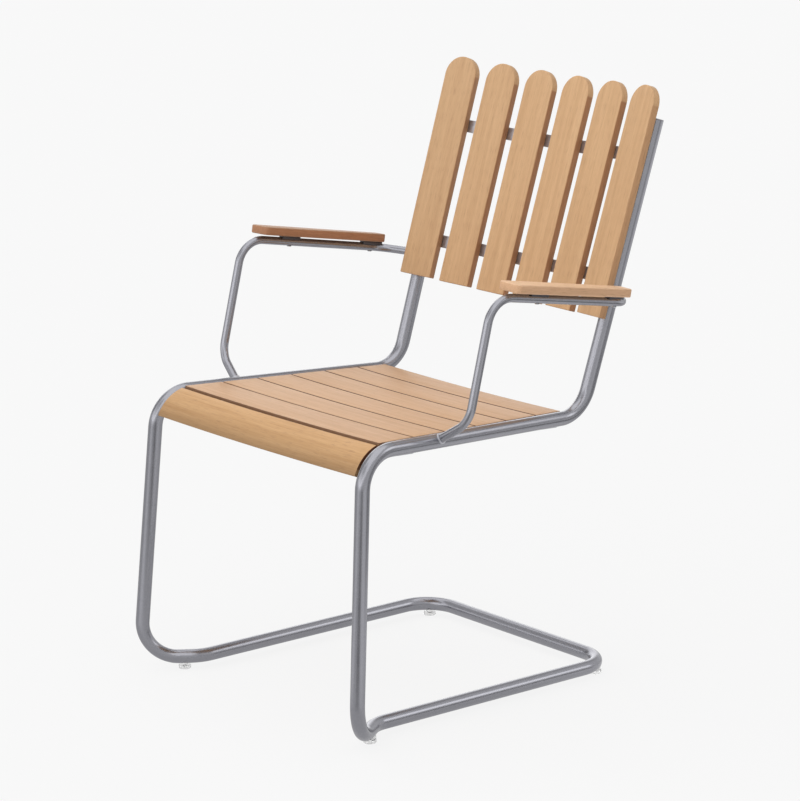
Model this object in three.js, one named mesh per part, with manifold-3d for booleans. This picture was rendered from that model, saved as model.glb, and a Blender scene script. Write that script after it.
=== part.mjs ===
// Cantilever garden armchair: one bent steel tube carries a slatted wooden seat and back and two padded arms.
// Millimetres, +Z up. The sitter faces -Y and the sitter's left is +X. Z is zero on the floor.
import * as THREE from 'three';
import { mergeVertices } from 'three/addons/utils/BufferGeometryUtils.js';
import Module from 'manifold-3d';

const wasm = await Module();
wasm.setup();

// Clearances
const fitGap = 0.3;
const overrun = 3;

// Main tube: diameter, wall, bends, and the corners of one side's centre-line
const tubeDiameter = 22;
const tubeWall = 1.5;
const tubeBendRadius = 56;
const footHeight = 8;
const seatFrontHalfWidth = 251.5;
const seatFrontForward = 290.2;
const seatFrontHeight = 446;
const seatTaper = 32.9;
const seatRearHalfWidth = seatFrontHalfWidth - seatTaper;
const seatRearBack = 163.7;
const seatFall = 19.1;
const seatRearHeight = seatFrontHeight - seatFall;
const uprightFlare = 9.1;
const uprightTopHalfWidth = seatRearHalfWidth + uprightFlare;
const uprightTopBack = 303.9;
const uprightRise = 440.7;
const uprightTopHeight = seatRearHeight + uprightRise;
const legSplay = 18.5;
const legFootHalfWidth = seatFrontHalfWidth + legSplay;
const legFootForward = 319.2;
const curlInset = 36.5;
const curlHalfWidth = seatFrontHalfWidth - curlInset;
const curlForward = 239.7;
const runnerFlare = 2.4;
const runnerRearHalfWidth = curlHalfWidth + runnerFlare;
const runnerRearBack = 235.1;

// Plugs in the open ends of the uprights
const plugHeadThickness = 2;
const plugShankLength = 14;

// Feet: a disc under a narrow saddle, with a peg that snaps into the tube
const footDiscRadius = 9.7;
const footDiscHeight = 5.5;
const footDiscEdge = 1.4;
const footSaddleLength = 9;
const footSaddleWidth = 17;
const footSaddleLip = 3.5;
const footPegRadius = 2.6;
const footPegReach = 3;

// Seat: slats lie between the side tubes on two lengthwise bars, and these on two cross bars. The seat is
// slightly hollow: the middle of each slat lies lower than its ends.
const seatSlatThickness = 12.5;
const seatTopAboveTube = 8.7;
const seatHollow = 2.4;
const seatSlatGap = 3;
const seatFrontSlatGap = 5.5;
const seatEndGap = 1;
const nosingRearFromCorner = 36.2;
const nosingWidth = 60.5;
const firstSlatWidth = 66.3;
const middleSlatWidth = 61.2;
const middleSlatCount = 4;
const rearSlatWidth = 52.1;
const slatEdgeRound = 1.5;
const supportBarWidth = 25;
const supportBarThickness = 3;
const supportBarHalfSpacing = 125;
const supportBarEndInset = 6;
const crossBarWidth = 30;
const crossBarThickness = 3;
const crossBarFrontFromCorner = 84;
const crossBarRearFromCorner = 386;

// Back: flat slats on two curved bars between the uprights
const backSlatCount = 6;
const backSlatWidth = 62;
const backSlatThickness = 12.5;
const backSlatLength = 360;
const outerSlatFromUpright = 21.95;
const backArcRadius = 1170;
const backSlatFanAngle = 0.0067;
const backLeanAngle = THREE.MathUtils.degToRad(17.79);
const backFootAboveSeat = 126;
const backUprightGap = 1.6;
const backBarHeight = 20;
const backBarThickness = 3;
const lowerBarAboveSlatFoot = 62.5;
const upperBarAboveSlatFoot = 252.5;

// Screws of the back slats
const screwShankRadius = 1.8;
const screwHeadRadius = 3.6;
const screwHeadHeight = 2.2;
const screwBite = 8;

// Arms: a bent tube from the side tube of the seat up, back and in to the upright
const armTubeDiameter = 13;
const armTubeWall = 1.5;
const armBendRadius = 41.8;
const armSeatFromCorner = 146.8;
const armFootBeyondSeat = 45.9;
const armFootForward = 130.4;
const armFootAboveSeat = 29.6;
const armFrontBeyondSeat = 46.7;
const armFrontForward = 86.4;
const armFrontAboveSeat = 209.6;
const armRearBeyondSeat = 69.8;
const armRearBack = 187.1;
const armRearAboveSeat = 164.2;
const armUprightAboveSeat = 160;

// Arm pads: a tapered board on two saddle-shaped spacers, each held by a screw up through the tube
const padThickness = 13;
const padFrontWidth = 45;
const padRearWidth = 28;
const padFrontFromCorner = 28;
const padLength = 246.5;
const padAboveTube = 3;
const padCornerRadius = 3.5;
const padTiltAngle = THREE.MathUtils.degToRad(2);
const spacerLength = 35;
const spacerWidth = 11;
const frontSpacerFromPadEnd = 63;
const rearSpacerFromPadEnd = 226;
const padScrewShankRadius = 2;
const padScrewHeadRadius = 4;
const padScrewHeadHeight = 1.4;
const padScrewBite = 8;

// Facets
const tubeSides = 16;
const boreSides = 8;
const bendSteps = 7;
const armSides = 12;
const armBoreSides = 6;
const barSteps = 18;
const roundSides = 12;
const footSides = 16;
const screwSides = 8;
const cornerSteps = 3;
const slatTopSteps = 10;
const nosingSteps = 9;
const hollowSteps = 9;

// Sizes that follow from the ones above
const tubeRadius = tubeDiameter / 2;
const boreRadius = tubeRadius - tubeWall;
const floorTubeHeight = footHeight + tubeRadius;
const armTubeRadius = armTubeDiameter / 2;
const armBoreRadius = armTubeRadius - armTubeWall;
const backFootHeight = seatFrontHeight + backFootAboveSeat;
const outerSlatFromMiddle = uprightTopHalfWidth - outerSlatFromUpright;
const backSlatPitch = outerSlatFromMiddle / ((backSlatCount - 1) / 2);
const armUprightHeight = seatFrontHeight + armUprightAboveSeat;
const halfTurn = Math.PI;
const quarterTurn = Math.PI / 2;

const zinc = { color: 0x9b9aa2, roughness: 0.38, metalness: 0.9 };
const wood = { color: 0xcfa57c, roughness: 0.55, metalness: 0 };
const clearPlastic = { color: 0xe9e9e6, roughness: 0.4, metalness: 0 };
const screwSteel = { color: 0xb4b5ba, roughness: 0.3, metalness: 1 };
const greyPlastic = { color: 0x8d8c94, roughness: 0.5, metalness: 0 };

const xAxis = new THREE.Vector3(1, 0, 0);
const yAxis = new THREE.Vector3(0, 1, 0);
const zAxis = new THREE.Vector3(0, 0, 1);

// A centre-line of straights joined by round bends. Its stations are the ends of the straights and even
// steps round each bend, so a tube extruded along it has no needless rings.
class BentPath extends THREE.Curve {
  constructor(corners, radius, steps) {
    super();
    this.bends = [];
    this.points = [corners[0]];
    this.directions = [corners[1].clone().sub(corners[0]).normalize()];
    for (let i = 1; i < corners.length - 1; i++) {
      const bend = roundBend(corners[i - 1], corners[i], corners[i + 1], radius);
      this.bends.push(bend);
      for (let k = 0; k <= steps; k++) {
        this.points.push(bend.pointAt(k / steps));
        this.directions.push(bend.directionAt(k / steps));
      }
    }
    this.points.push(corners.at(-1));
    this.directions.push(corners.at(-1).clone().sub(corners.at(-2)).normalize());
  }
  get stepCount() {
    return this.points.length - 1;
  }
  getPointAt(share) {
    return this.points[Math.round(share * this.stepCount)].clone();
  }
  getTangentAt(share) {
    return this.directions[Math.round(share * this.stepCount)].clone();
  }
}

// One round bend at the corner between two straights
function roundBend(before, corner, after, radius) {
  const inward = corner.clone().sub(before).normalize();
  const outward = after.clone().sub(corner).normalize();
  const turn = inward.angleTo(outward);
  const setback = radius * Math.tan(turn / 2);
  const start = corner.clone().addScaledVector(inward, -setback);
  const toCentre = outward.clone().addScaledVector(inward, -inward.dot(outward)).normalize();
  const centre = start.clone().addScaledVector(toCentre, radius);
  const pointAt = (share) => centre.clone()
    .addScaledVector(toCentre, -radius * Math.cos(share * turn))
    .addScaledVector(inward, radius * Math.sin(share * turn));
  const directionAt = (share) => inward.clone().multiplyScalar(Math.cos(share * turn))
    .addScaledVector(toCentre, Math.sin(share * turn));
  return { start, end: pointAt(1), turn, setback, pointAt, directionAt };
}

// A round section with, if a bore is given, a round hole
function roundSection(radius, sides, bore, sidesOfBore) {
  const ring = (size, count) => Array.from({ length: count }, (unused, i) => {
    const angle = (i + 1 / 2) / count * 2 * Math.PI;
    return new THREE.Vector2(size * Math.cos(angle), size * Math.sin(angle));
  });
  const shape = new THREE.Shape(ring(radius, sides));
  if (bore) shape.holes.push(new THREE.Path(ring(bore, sidesOfBore)));
  return shape;
}

function alongPath(section, path) {
  return new THREE.ExtrudeGeometry(section, { steps: path.stepCount, extrudePath: path });
}

// A round rod between two points
function rod(from, to, radius, sides) {
  const run = to.clone().sub(from);
  const geometry = new THREE.CylinderGeometry(radius, radius, run.length(), sides);
  const turn = new THREE.Quaternion().setFromUnitVectors(yAxis, run.clone().normalize());
  const middle = from.clone().add(to).multiplyScalar(1 / 2);
  return geometry.applyQuaternion(turn).translate(middle.x, middle.y, middle.z);
}

// A flat piece with rounded edges: the outline lies in the XY plane and the thickness runs from 0 up
function board(shape, thickness, edge, curveSegments) {
  const geometry = new THREE.ExtrudeGeometry(shape, {
    depth: thickness - 2 * edge,
    bevelEnabled: true,
    bevelThickness: edge,
    bevelSize: edge,
    bevelOffset: -edge,
    bevelSegments: 1,
    curveSegments,
  });
  return geometry.translate(0, 0, edge);
}

function toSolid(geometry) {
  const bare = geometry.clone();
  bare.deleteAttribute('normal');
  bare.deleteAttribute('uv');
  const merged = mergeVertices(bare);
  const vertProperties = new Float32Array(merged.attributes.position.array);
  const triVerts = new Uint32Array(merged.index.array);
  return new wasm.Manifold(new wasm.Mesh({ numProp: 3, vertProperties, triVerts }));
}

function toGeometry(solid) {
  const { vertProperties, triVerts } = solid.getMesh();
  const geometry = new THREE.BufferGeometry();
  geometry.setAttribute('position', new THREE.BufferAttribute(new Float32Array(vertProperties), 3));
  geometry.setIndex(new THREE.BufferAttribute(new Uint32Array(triVerts), 1));
  geometry.computeVertexNormals();
  return geometry;
}

function cut(geometry, ...cutters) {
  return toGeometry(cutters.reduce((solid, cutter) => solid.subtract(toSolid(cutter)), toSolid(geometry)));
}

function join(...geometries) {
  return toGeometry(geometries.map(toSolid).reduce((solid, other) => solid.add(other)));
}

// A place with its own axes, for boards that lie at an angle
function makeFrame(origin, across, along, normal) {
  return new THREE.Matrix4().makeBasis(across, along, normal).setPosition(origin);
}

function at(frame, x, y, z) {
  return new THREE.Vector3(x, y, z).applyMatrix4(frame);
}

function addPiece(group, name, geometry, finish, frame) {
  const mesh = new THREE.Mesh(geometry, new THREE.MeshStandardMaterial(finish));
  mesh.name = name;
  if (frame) frame.decompose(mesh.position, mesh.quaternion, mesh.scale);
  group.add(mesh);
  return mesh;
}

const sides = [{ name: 'right', sign: -1 }, { name: 'left', sign: 1 }];

// Main tube
const sideCorners = (sign) => [
  new THREE.Vector3(sign * uprightTopHalfWidth, uprightTopBack, uprightTopHeight),
  new THREE.Vector3(sign * seatRearHalfWidth, seatRearBack, seatRearHeight),
  new THREE.Vector3(sign * seatFrontHalfWidth, -seatFrontForward, seatFrontHeight),
  new THREE.Vector3(sign * legFootHalfWidth, -legFootForward, floorTubeHeight),
  new THREE.Vector3(sign * curlHalfWidth, -curlForward, floorTubeHeight),
  new THREE.Vector3(sign * runnerRearHalfWidth, runnerRearBack, floorTubeHeight),
];
const frameCorners = [...sideCorners(-1), ...sideCorners(1).reverse()];
const framePath = new BentPath(frameCorners, tubeBendRadius, bendSteps);
const lastBend = framePath.bends.length - 1;
const bendOf = (sign, index) => framePath.bends[sign < 0 ? index : lastBend - index];
const seatFrontBend = 1;
const legFootBend = 2;
const curlBend = 3;
const runnerRearBend = 4;
const frameCutter = alongPath(roundSection(tubeRadius + fitGap, tubeSides), framePath);

// The seat's plane holds the centre-lines of both side tubes of the seat
const seatFrontMiddle = new THREE.Vector3(0, -seatFrontForward, seatFrontHeight);
const seatRearMiddle = new THREE.Vector3(0, seatRearBack, seatRearHeight);
const seatRun = seatRearMiddle.clone().sub(seatFrontMiddle);
const seatLength = seatRun.length();
const seatRearward = seatRun.clone().normalize();
const seatNormal = new THREE.Vector3().crossVectors(xAxis, seatRearward);
const seatFrame = makeFrame(seatFrontMiddle, xAxis, seatRearward, seatNormal);
const seatHalfWidthAt = (run) => {
  const rearShare = run / seatLength;
  return THREE.MathUtils.lerp(seatFrontHalfWidth, seatRearHalfWidth, rearShare);
};
const seatConverge = Math.atan2(seatFrontHalfWidth - seatRearHalfWidth, seatLength);
const slatHalfLengthAt = (run) => seatHalfWidthAt(run) - tubeRadius / Math.cos(seatConverge) - seatEndGap;
const seatSlatBottom = seatTopAboveTube - seatSlatThickness;

function addFrame(chair) {
  const pegHoles = footPlaces().map(({ point }) => rod(
    point.clone().addScaledVector(zAxis, -tubeRadius - overrun),
    point,
    footPegRadius + fitGap,
    footSides,
  ));
  const tube = alongPath(roundSection(tubeRadius, tubeSides, boreRadius, boreSides), framePath);
  addPiece(chair, 'frame_tube', cut(tube, ...pegHoles), zinc);

  const boreFlat = boreRadius * Math.cos(Math.PI / boreSides);
  const shankRadius = boreFlat - fitGap;
  const profile = [
    new THREE.Vector2(0, -plugShankLength),
    new THREE.Vector2(shankRadius, -plugShankLength),
    new THREE.Vector2(shankRadius, fitGap),
    new THREE.Vector2(tubeRadius, fitGap),
    new THREE.Vector2(tubeRadius, plugHeadThickness / 2),
    new THREE.Vector2(tubeRadius - plugHeadThickness / 2, plugHeadThickness),
    new THREE.Vector2(0, plugHeadThickness),
  ];
  for (const { name, sign } of sides) {
    const [top, bottom] = sideCorners(sign);
    const geometry = new THREE.LatheGeometry(profile, roundSides);
    const plug = addPiece(chair, `tube_plug_${name}`, geometry, greyPlastic);
    plug.position.copy(top);
    plug.quaternion.setFromUnitVectors(yAxis, top.clone().sub(bottom).normalize());
  }
}

// Front feet stand between the two bends behind each leg, rear feet under the rear corners
function footPlaces() {
  return sides.flatMap(({ name, sign }) => {
    const legFoot = bendOf(sign, legFootBend);
    const curl = bendOf(sign, curlBend);
    const rear = bendOf(sign, runnerRearBend);
    const [from, to] = sign < 0 ? [legFoot.end, curl.start] : [legFoot.start, curl.end];
    const middle = from.clone().lerp(to, 1 / 2);
    const direction = to.clone().sub(from).normalize();
    return [
      { name: `foot_front_${name}`, point: middle, direction },
      { name: `foot_rear_${name}`, point: rear.pointAt(1 / 2), direction: rear.directionAt(1 / 2) },
    ];
  });
}

function addFeet(chair) {
  const discFoot = footDiscRadius - footDiscEdge / 2;
  for (const { name, point, direction } of footPlaces()) {
    const across = new THREE.Vector3().crossVectors(direction, zAxis);
    const frame = makeFrame(new THREE.Vector3(point.x, point.y, 0), across, direction, zAxis);
    const disc = new THREE.LatheGeometry([
      new THREE.Vector2(0, 0),
      new THREE.Vector2(discFoot, 0),
      new THREE.Vector2(footDiscRadius, footDiscEdge),
      new THREE.Vector2(footDiscRadius, footDiscHeight),
      new THREE.Vector2(0, footDiscHeight),
    ], footSides).rotateX(quarterTurn).applyMatrix4(frame);
    const saddleHeight = footHeight + footSaddleLip - footDiscHeight / 2;
    const saddle = new THREE.BoxGeometry(footSaddleWidth, footSaddleLength, saddleHeight)
      .translate(0, 0, footDiscHeight / 2 + saddleHeight / 2)
      .applyMatrix4(frame);
    const pegTop = footHeight + tubeWall + footPegReach;
    const pegFoot = footDiscHeight / 2;
    const peg = rod(at(frame, 0, 0, pegFoot), at(frame, 0, 0, pegTop), footPegRadius, footSides);
    addPiece(chair, name, join(cut(join(disc, saddle), frameCutter), peg), clearPlastic);
  }
}

// The front bend as seen from the side, in the seat's plane: where it starts, its turn and its centre
const frontBend = bendOf(1, seatFrontBend);
const noseOuterRadius = tubeBendRadius + seatTopAboveTube;
const noseInnerRadius = noseOuterRadius - seatSlatThickness;
const noseCentreRun = frontBend.setback;
const noseStartAngle = Math.asin((noseCentreRun - nosingRearFromCorner) / noseOuterRadius);
const noseEndAngle = noseStartAngle + nosingWidth / noseOuterRadius;
const noseHalfLengthAt = (angle) => {
  const share = angle / frontBend.turn;
  return Math.abs(frontBend.pointAt(1 - share).x) - tubeRadius - seatEndGap;
};
const hollowAt = (lengthShare) => seatHollow * (1 - lengthShare ** 2);
const onNose = (radius, angle) => new THREE.Vector2(
  noseCentreRun - radius * Math.sin(angle),
  radius * Math.cos(angle) - tubeBendRadius,
);
const noseArc = (radius, from, to) => Array.from({ length: nosingSteps + 1 }, (unused, i) => {
  const turnShare = i / nosingSteps;
  return onNose(radius, THREE.MathUtils.lerp(from, to, turnShare));
});

// A board of the seat: its section as seen from the side, carried across the seat and sunk in the middle
function seatBoard(outline, halfLengthAt) {
  const extent = { depth: 2 * seatFrontHalfWidth, steps: hollowSteps, bevelEnabled: false };
  const geometry = new THREE.ExtrudeGeometry(new THREE.Shape(outline), extent);
  const position = geometry.attributes.position;
  for (let i = 0; i < position.count; i++) {
    const run = position.getX(i);
    const rise = position.getY(i);
    const lengthShare = position.getZ(i) / seatFrontHalfWidth - 1;
    position.setXYZ(i, lengthShare * halfLengthAt(run, rise), run, rise - hollowAt(lengthShare));
  }
  return geometry;
}

function nosingGeometry() {
  const outline = [
    ...noseArc(noseOuterRadius, noseStartAngle, noseEndAngle),
    ...noseArc(noseInnerRadius, noseEndAngle, noseStartAngle),
  ];
  const angleOf = (run, rise) => Math.atan2(noseCentreRun - run, rise + tubeBendRadius);
  return seatBoard(outline, (run, rise) => noseHalfLengthAt(angleOf(run, rise)));
}

function slatGeometry(start, width) {
  const end = start + width;
  const bottom = seatSlatBottom;
  const top = seatTopAboveTube;
  const edge = slatEdgeRound;
  return seatBoard([
    new THREE.Vector2(start + edge, bottom),
    new THREE.Vector2(end - edge, bottom),
    new THREE.Vector2(end, bottom + edge),
    new THREE.Vector2(end, top - edge),
    new THREE.Vector2(end - edge, top),
    new THREE.Vector2(start + edge, top),
    new THREE.Vector2(start, top - edge),
    new THREE.Vector2(start, bottom + edge),
  ], slatHalfLengthAt);
}

function addSeat(chair) {
  const seat = new THREE.Group();
  seatFrame.decompose(seat.position, seat.quaternion, seat.scale);
  chair.add(seat);

  addPiece(seat, 'seat_nosing', nosingGeometry(), wood);
  const widths = [firstSlatWidth, ...Array(middleSlatCount).fill(middleSlatWidth), rearSlatWidth];
  let start = nosingRearFromCorner + seatFrontSlatGap;
  widths.forEach((width, i) => {
    addPiece(seat, `seat_slat_${i + 1}`, slatGeometry(start, width), wood);
    start += width + seatSlatGap;
  });
  const seatEnd = start - seatSlatGap;

  // Lengthwise bars: flat under the slats, lower by the hollow there, and bent down behind the nosing
  const barTop = seatSlatBottom - fitGap;
  const barDrop = hollowAt((supportBarHalfSpacing - supportBarWidth / 2) / seatFrontHalfWidth);
  const topRadius = tubeBendRadius + barTop;
  const lowRadius = topRadius - supportBarThickness;
  const barEndAngle = noseEndAngle - supportBarEndInset / topRadius;
  const barEnd = seatEnd - supportBarEndInset;
  const barShape = new THREE.Shape([
    new THREE.Vector2(barEnd, barTop),
    ...noseArc(topRadius, 0, barEndAngle),
    ...noseArc(lowRadius, barEndAngle, 0),
    new THREE.Vector2(barEnd, barTop - supportBarThickness),
  ]);
  for (const { name, sign } of sides) {
    const bar = new THREE.ExtrudeGeometry(barShape, { depth: supportBarWidth, bevelEnabled: false });
    const turned = bar.translate(0, 0, -supportBarWidth / 2)
      .applyMatrix4(new THREE.Matrix4().makeBasis(yAxis, zAxis, xAxis));
    const piece = addPiece(seat, `seat_support_bar_${name}`, turned, zinc);
    piece.position.set(sign * supportBarHalfSpacing, 0, -barDrop);
  }

  // Cross bars: welded between the side tubes under the lengthwise bars
  const crossTop = barTop - barDrop - supportBarThickness - fitGap;
  const crossBars = [['front', crossBarFrontFromCorner], ['rear', crossBarRearFromCorner]];
  for (const [name, run] of crossBars) {
    const bar = new THREE.BoxGeometry(2 * seatHalfWidthAt(run), crossBarWidth, crossBarThickness)
      .translate(0, run, crossTop - crossBarThickness / 2)
      .applyMatrix4(seatFrame);
    addPiece(chair, `seat_cross_bar_${name}`, cut(bar, frameCutter), zinc);
  }
}

// Back: the slats' front faces touch an arc whose centre lies in front of the back
const backUp = new THREE.Vector3(0, Math.sin(backLeanAngle), Math.cos(backLeanAngle));
const backForward = new THREE.Vector3(0, -Math.cos(backLeanAngle), Math.sin(backLeanAngle));
const slatTurnAngle = backSlatPitch / backArcRadius;

function backSlatFrame(index, foot) {
  const place = index - (backSlatCount - 1) / 2;
  const turn = place * slatTurnAngle;
  const fan = place * backSlatFanAngle;
  const origin = foot.clone()
    .addScaledVector(xAxis, backArcRadius * Math.sin(turn))
    .addScaledVector(backForward, backArcRadius * (1 - Math.cos(turn)));
  const level = xAxis.clone().multiplyScalar(Math.cos(turn)).addScaledVector(backForward, Math.sin(turn));
  const normal = xAxis.clone().multiplyScalar(-Math.sin(turn)).addScaledVector(backForward, Math.cos(turn));
  const along = backUp.clone().multiplyScalar(Math.cos(fan)).addScaledVector(level, Math.sin(fan));
  const across = new THREE.Vector3().crossVectors(along, normal);
  return makeFrame(origin, across, along, normal);
}

// The foot of the back's middle, set so that the outer slats clear the uprights by the named gap
function findBackFoot() {
  const [top, bottom] = sideCorners(1);
  const upright = top.clone().sub(bottom).normalize();
  const foot = new THREE.Vector3(0, 0, backFootHeight);
  const trial = backSlatFrame(backSlatCount - 1, foot);
  const normal = new THREE.Vector3().setFromMatrixColumn(trial, 2);
  const rearFace = at(trial, 0, 0, -backSlatThickness);
  const reach = [top, bottom.clone().addScaledVector(upright, (backFootHeight - bottom.z) / upright.z)];
  const standOff = Math.min(...reach.map((point) => rearFace.clone().sub(point).dot(normal)));
  const shift = tubeRadius + backUprightGap - standOff;
  const level = new THREE.Vector3(0, -1, 0);
  return foot.addScaledVector(level, shift / level.dot(normal));
}
const backFoot = findBackFoot();
const farthestShift = (backSlatCount - 1) / 2 * backSlatFanAngle * upperBarAboveSlatFoot;
const slatRearRadius = backArcRadius + backSlatThickness;
const barFrontRadius = Math.hypot(slatRearRadius, backSlatWidth / 2 + farthestShift) + fitGap;
const barRearRadius = barFrontRadius + backBarThickness;
const uprightHalfWidthAt = (height) => {
  const share = (height - seatRearHeight) / (uprightTopHeight - seatRearHeight);
  return THREE.MathUtils.lerp(seatRearHalfWidth, uprightTopHalfWidth, share);
};

// Depth of the back bars' rear face behind a slat's front face, at a slat's centre-line
function barDepthAt(index, aboveFoot) {
  const sideways = (index - (backSlatCount - 1) / 2) * backSlatFanAngle * aboveFoot;
  return Math.sqrt(barRearRadius ** 2 - sideways ** 2) - backArcRadius;
}

function screwGeometry(shankRadius, shankLength, headRadius, headHeight) {
  const shoulder = headHeight / 2;
  return new THREE.LatheGeometry([
    new THREE.Vector2(0, -headHeight),
    new THREE.Vector2(headRadius - shoulder, -headHeight),
    new THREE.Vector2(headRadius, -shoulder),
    new THREE.Vector2(headRadius, 0),
    new THREE.Vector2(shankRadius, 0),
    new THREE.Vector2(shankRadius, shankLength - shankRadius),
    new THREE.Vector2(0, shankLength),
  ], screwSides).rotateX(quarterTurn);
}

function backSlatGeometry() {
  const half = backSlatWidth / 2;
  const outline = new THREE.Shape();
  outline.moveTo(-half, 0);
  outline.lineTo(half, 0);
  outline.lineTo(half, backSlatLength - half);
  outline.absarc(0, backSlatLength - half, half, 0, halfTurn, false);
  outline.lineTo(-half, 0);
  return board(outline, backSlatThickness, slatEdgeRound, slatTopSteps).translate(0, 0, -backSlatThickness);
}

function addBack(chair) {
  const levels = [['lower', lowerBarAboveSlatFoot], ['upper', upperBarAboveSlatFoot]];
  const holeRadius = screwShankRadius + fitGap;
  const barHoles = { lower: [], upper: [] };
  for (let i = 0; i < backSlatCount; i++) {
    const frame = backSlatFrame(i, backFoot);
    const slatHoles = levels.map(([, above]) => rod(
      new THREE.Vector3(0, above, -backSlatThickness - overrun),
      new THREE.Vector3(0, above, -backSlatThickness + screwBite + fitGap),
      holeRadius,
      screwSides,
    ));
    addPiece(chair, `back_slat_${i + 1}`, cut(backSlatGeometry(), ...slatHoles), wood, frame);
    for (const [name, above] of levels) {
      const depth = barDepthAt(i, above) + fitGap;
      const length = depth - backSlatThickness + screwBite;
      const screw = screwGeometry(screwShankRadius, length, screwHeadRadius, screwHeadHeight);
      const seat = frame.clone().setPosition(at(frame, 0, above, -depth));
      addPiece(chair, `back_screw_${name}_${i + 1}`, screw, screwSteel, seat);
      barHoles[name].push(rod(
        at(frame, 0, above, -depth - overrun),
        at(frame, 0, above, -backSlatThickness),
        holeRadius,
        screwSides,
      ));
    }
  }

  // Curved bars: each ends part of the way round the upright that it is welded to
  for (const [name, above] of levels) {
    const middle = backFoot.clone()
      .addScaledVector(backUp, above)
      .addScaledVector(backForward, backArcRadius);
    const height = backFoot.z + above * backUp.z;
    const endHalfWidth = uprightHalfWidthAt(height) - tubeRadius / 2;
    const reach = Math.asin(endHalfWidth / barFrontRadius);
    const outline = new THREE.Shape();
    outline.absarc(0, 0, barRearRadius, quarterTurn - reach, quarterTurn + reach, false);
    outline.absarc(0, 0, barFrontRadius, quarterTurn + reach, quarterTurn - reach, true);
    const place = makeFrame(middle, xAxis, backForward.clone().negate(), backUp);
    const extent = { depth: backBarHeight, bevelEnabled: false, curveSegments: barSteps };
    const bar = new THREE.ExtrudeGeometry(outline, extent)
      .translate(0, 0, -backBarHeight / 2)
      .applyMatrix4(place);
    addPiece(chair, `back_bar_${name}`, cut(bar, frameCutter, ...barHoles[name]), zinc);
  }
}

// Arms
function armPoint(sign, halfWidth, back, aboveSeat) {
  return new THREE.Vector3(sign * halfWidth, back, seatFrontHeight + aboveSeat);
}

function armCorners(sign) {
  const seatPoint = at(seatFrame, sign * seatHalfWidthAt(armSeatFromCorner), armSeatFromCorner, 0);
  const [top, bottom] = sideCorners(sign);
  const uprightShare = (armUprightHeight - bottom.z) / (top.z - bottom.z);
  return [
    seatPoint,
    armPoint(sign, seatFrontHalfWidth + armFootBeyondSeat, -armFootForward, armFootAboveSeat),
    armPoint(sign, seatFrontHalfWidth + armFrontBeyondSeat, -armFrontForward, armFrontAboveSeat),
    armPoint(sign, seatRearHalfWidth + armRearBeyondSeat, armRearBack, armRearAboveSeat),
    bottom.clone().lerp(top, uprightShare),
  ];
}

function padOutline() {
  const taper = (padFrontWidth - padRearWidth) / 2 / padLength;
  const half = padFrontWidth / 2;
  const rear = padRearWidth / 2;
  const round = padCornerRadius;
  const outline = new THREE.Shape();
  outline.moveTo(-half + round, 0);
  outline.lineTo(half - round, 0);
  outline.quadraticCurveTo(half, 0, half - taper * round, round);
  outline.lineTo(rear + taper * round, padLength - round);
  outline.quadraticCurveTo(rear, padLength, rear - round, padLength);
  outline.lineTo(-rear + round, padLength);
  outline.quadraticCurveTo(-rear, padLength, -rear - taper * round, padLength - round);
  outline.lineTo(-half + taper * round, round);
  outline.quadraticCurveTo(-half, 0, -half + round, 0);
  return outline;
}

function addArm(chair, { name, sign }) {
  const corners = armCorners(sign);
  const path = new BentPath(corners, armBendRadius, bendSteps);
  const cutter = alongPath(roundSection(armTubeRadius + fitGap, armSides), path);

  // The pad's own axes: rearward along the tube, level across it but tilted a little outward, and up
  const rearward = corners[3].clone().sub(corners[2]).normalize();
  const level = new THREE.Vector3().crossVectors(rearward, zAxis).normalize();
  const across = level.applyAxisAngle(rearward, sign * padTiltAngle);
  const up = new THREE.Vector3().crossVectors(across, rearward);
  const padStart = corners[2].clone().addScaledVector(rearward, padFrontFromCorner);
  const frame = makeFrame(padStart, across, rearward, up);
  const padBottom = armTubeRadius + padAboveTube;

  const holes = [];
  const padHoles = [];
  const screwPlaces = [['front', frontSpacerFromPadEnd], ['rear', rearSpacerFromPadEnd]];
  for (const [end, run] of screwPlaces) {
    const holeRadius = padScrewShankRadius + fitGap;
    const below = at(frame, 0, run, -armTubeRadius - overrun);
    const through = rod(below, at(frame, 0, run, padBottom + overrun), holeRadius, screwSides);
    holes.push(through);
    padHoles.push(rod(
      new THREE.Vector3(0, run, -overrun),
      new THREE.Vector3(0, run, padScrewBite + fitGap),
      holeRadius,
      screwSides,
    ));
    const spacerTop = padBottom - fitGap;
    const spacer = new THREE.BoxGeometry(spacerWidth, spacerLength, spacerTop)
      .translate(0, run, spacerTop / 2)
      .applyMatrix4(frame);
    addPiece(chair, `pad_spacer_${name}_${end}`, cut(spacer, cutter, through), zinc);

    const shank = rod(
      at(frame, 0, run, -armTubeRadius - padScrewHeadHeight / 2),
      at(frame, 0, run, padBottom + padScrewBite),
      padScrewShankRadius,
      screwSides,
    );
    const head = rod(
      at(frame, 0, run, -armTubeRadius - padScrewHeadHeight),
      at(frame, 0, run, -armTubeRadius + padScrewHeadRadius / 2),
      padScrewHeadRadius,
      roundSides,
    );
    addPiece(chair, `pad_screw_${name}_${end}`, join(cut(head, cutter), shank), screwSteel);
  }
  const tube = alongPath(roundSection(armTubeRadius, armSides, armBoreRadius, armBoreSides), path);
  addPiece(chair, `arm_tube_${name}`, cut(tube, frameCutter, ...holes), zinc);
  const pad = cut(board(padOutline(), padThickness, slatEdgeRound, cornerSteps), ...padHoles);
  const padFrame = frame.clone().setPosition(at(frame, 0, 0, padBottom));
  addPiece(chair, `arm_pad_${name}`, pad, wood, padFrame);
}

const chair = new THREE.Group();
addFrame(chair);
addFeet(chair);
addSeat(chair);
addBack(chair);
for (const side of sides) addArm(chair, side);

export default chair;
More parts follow.
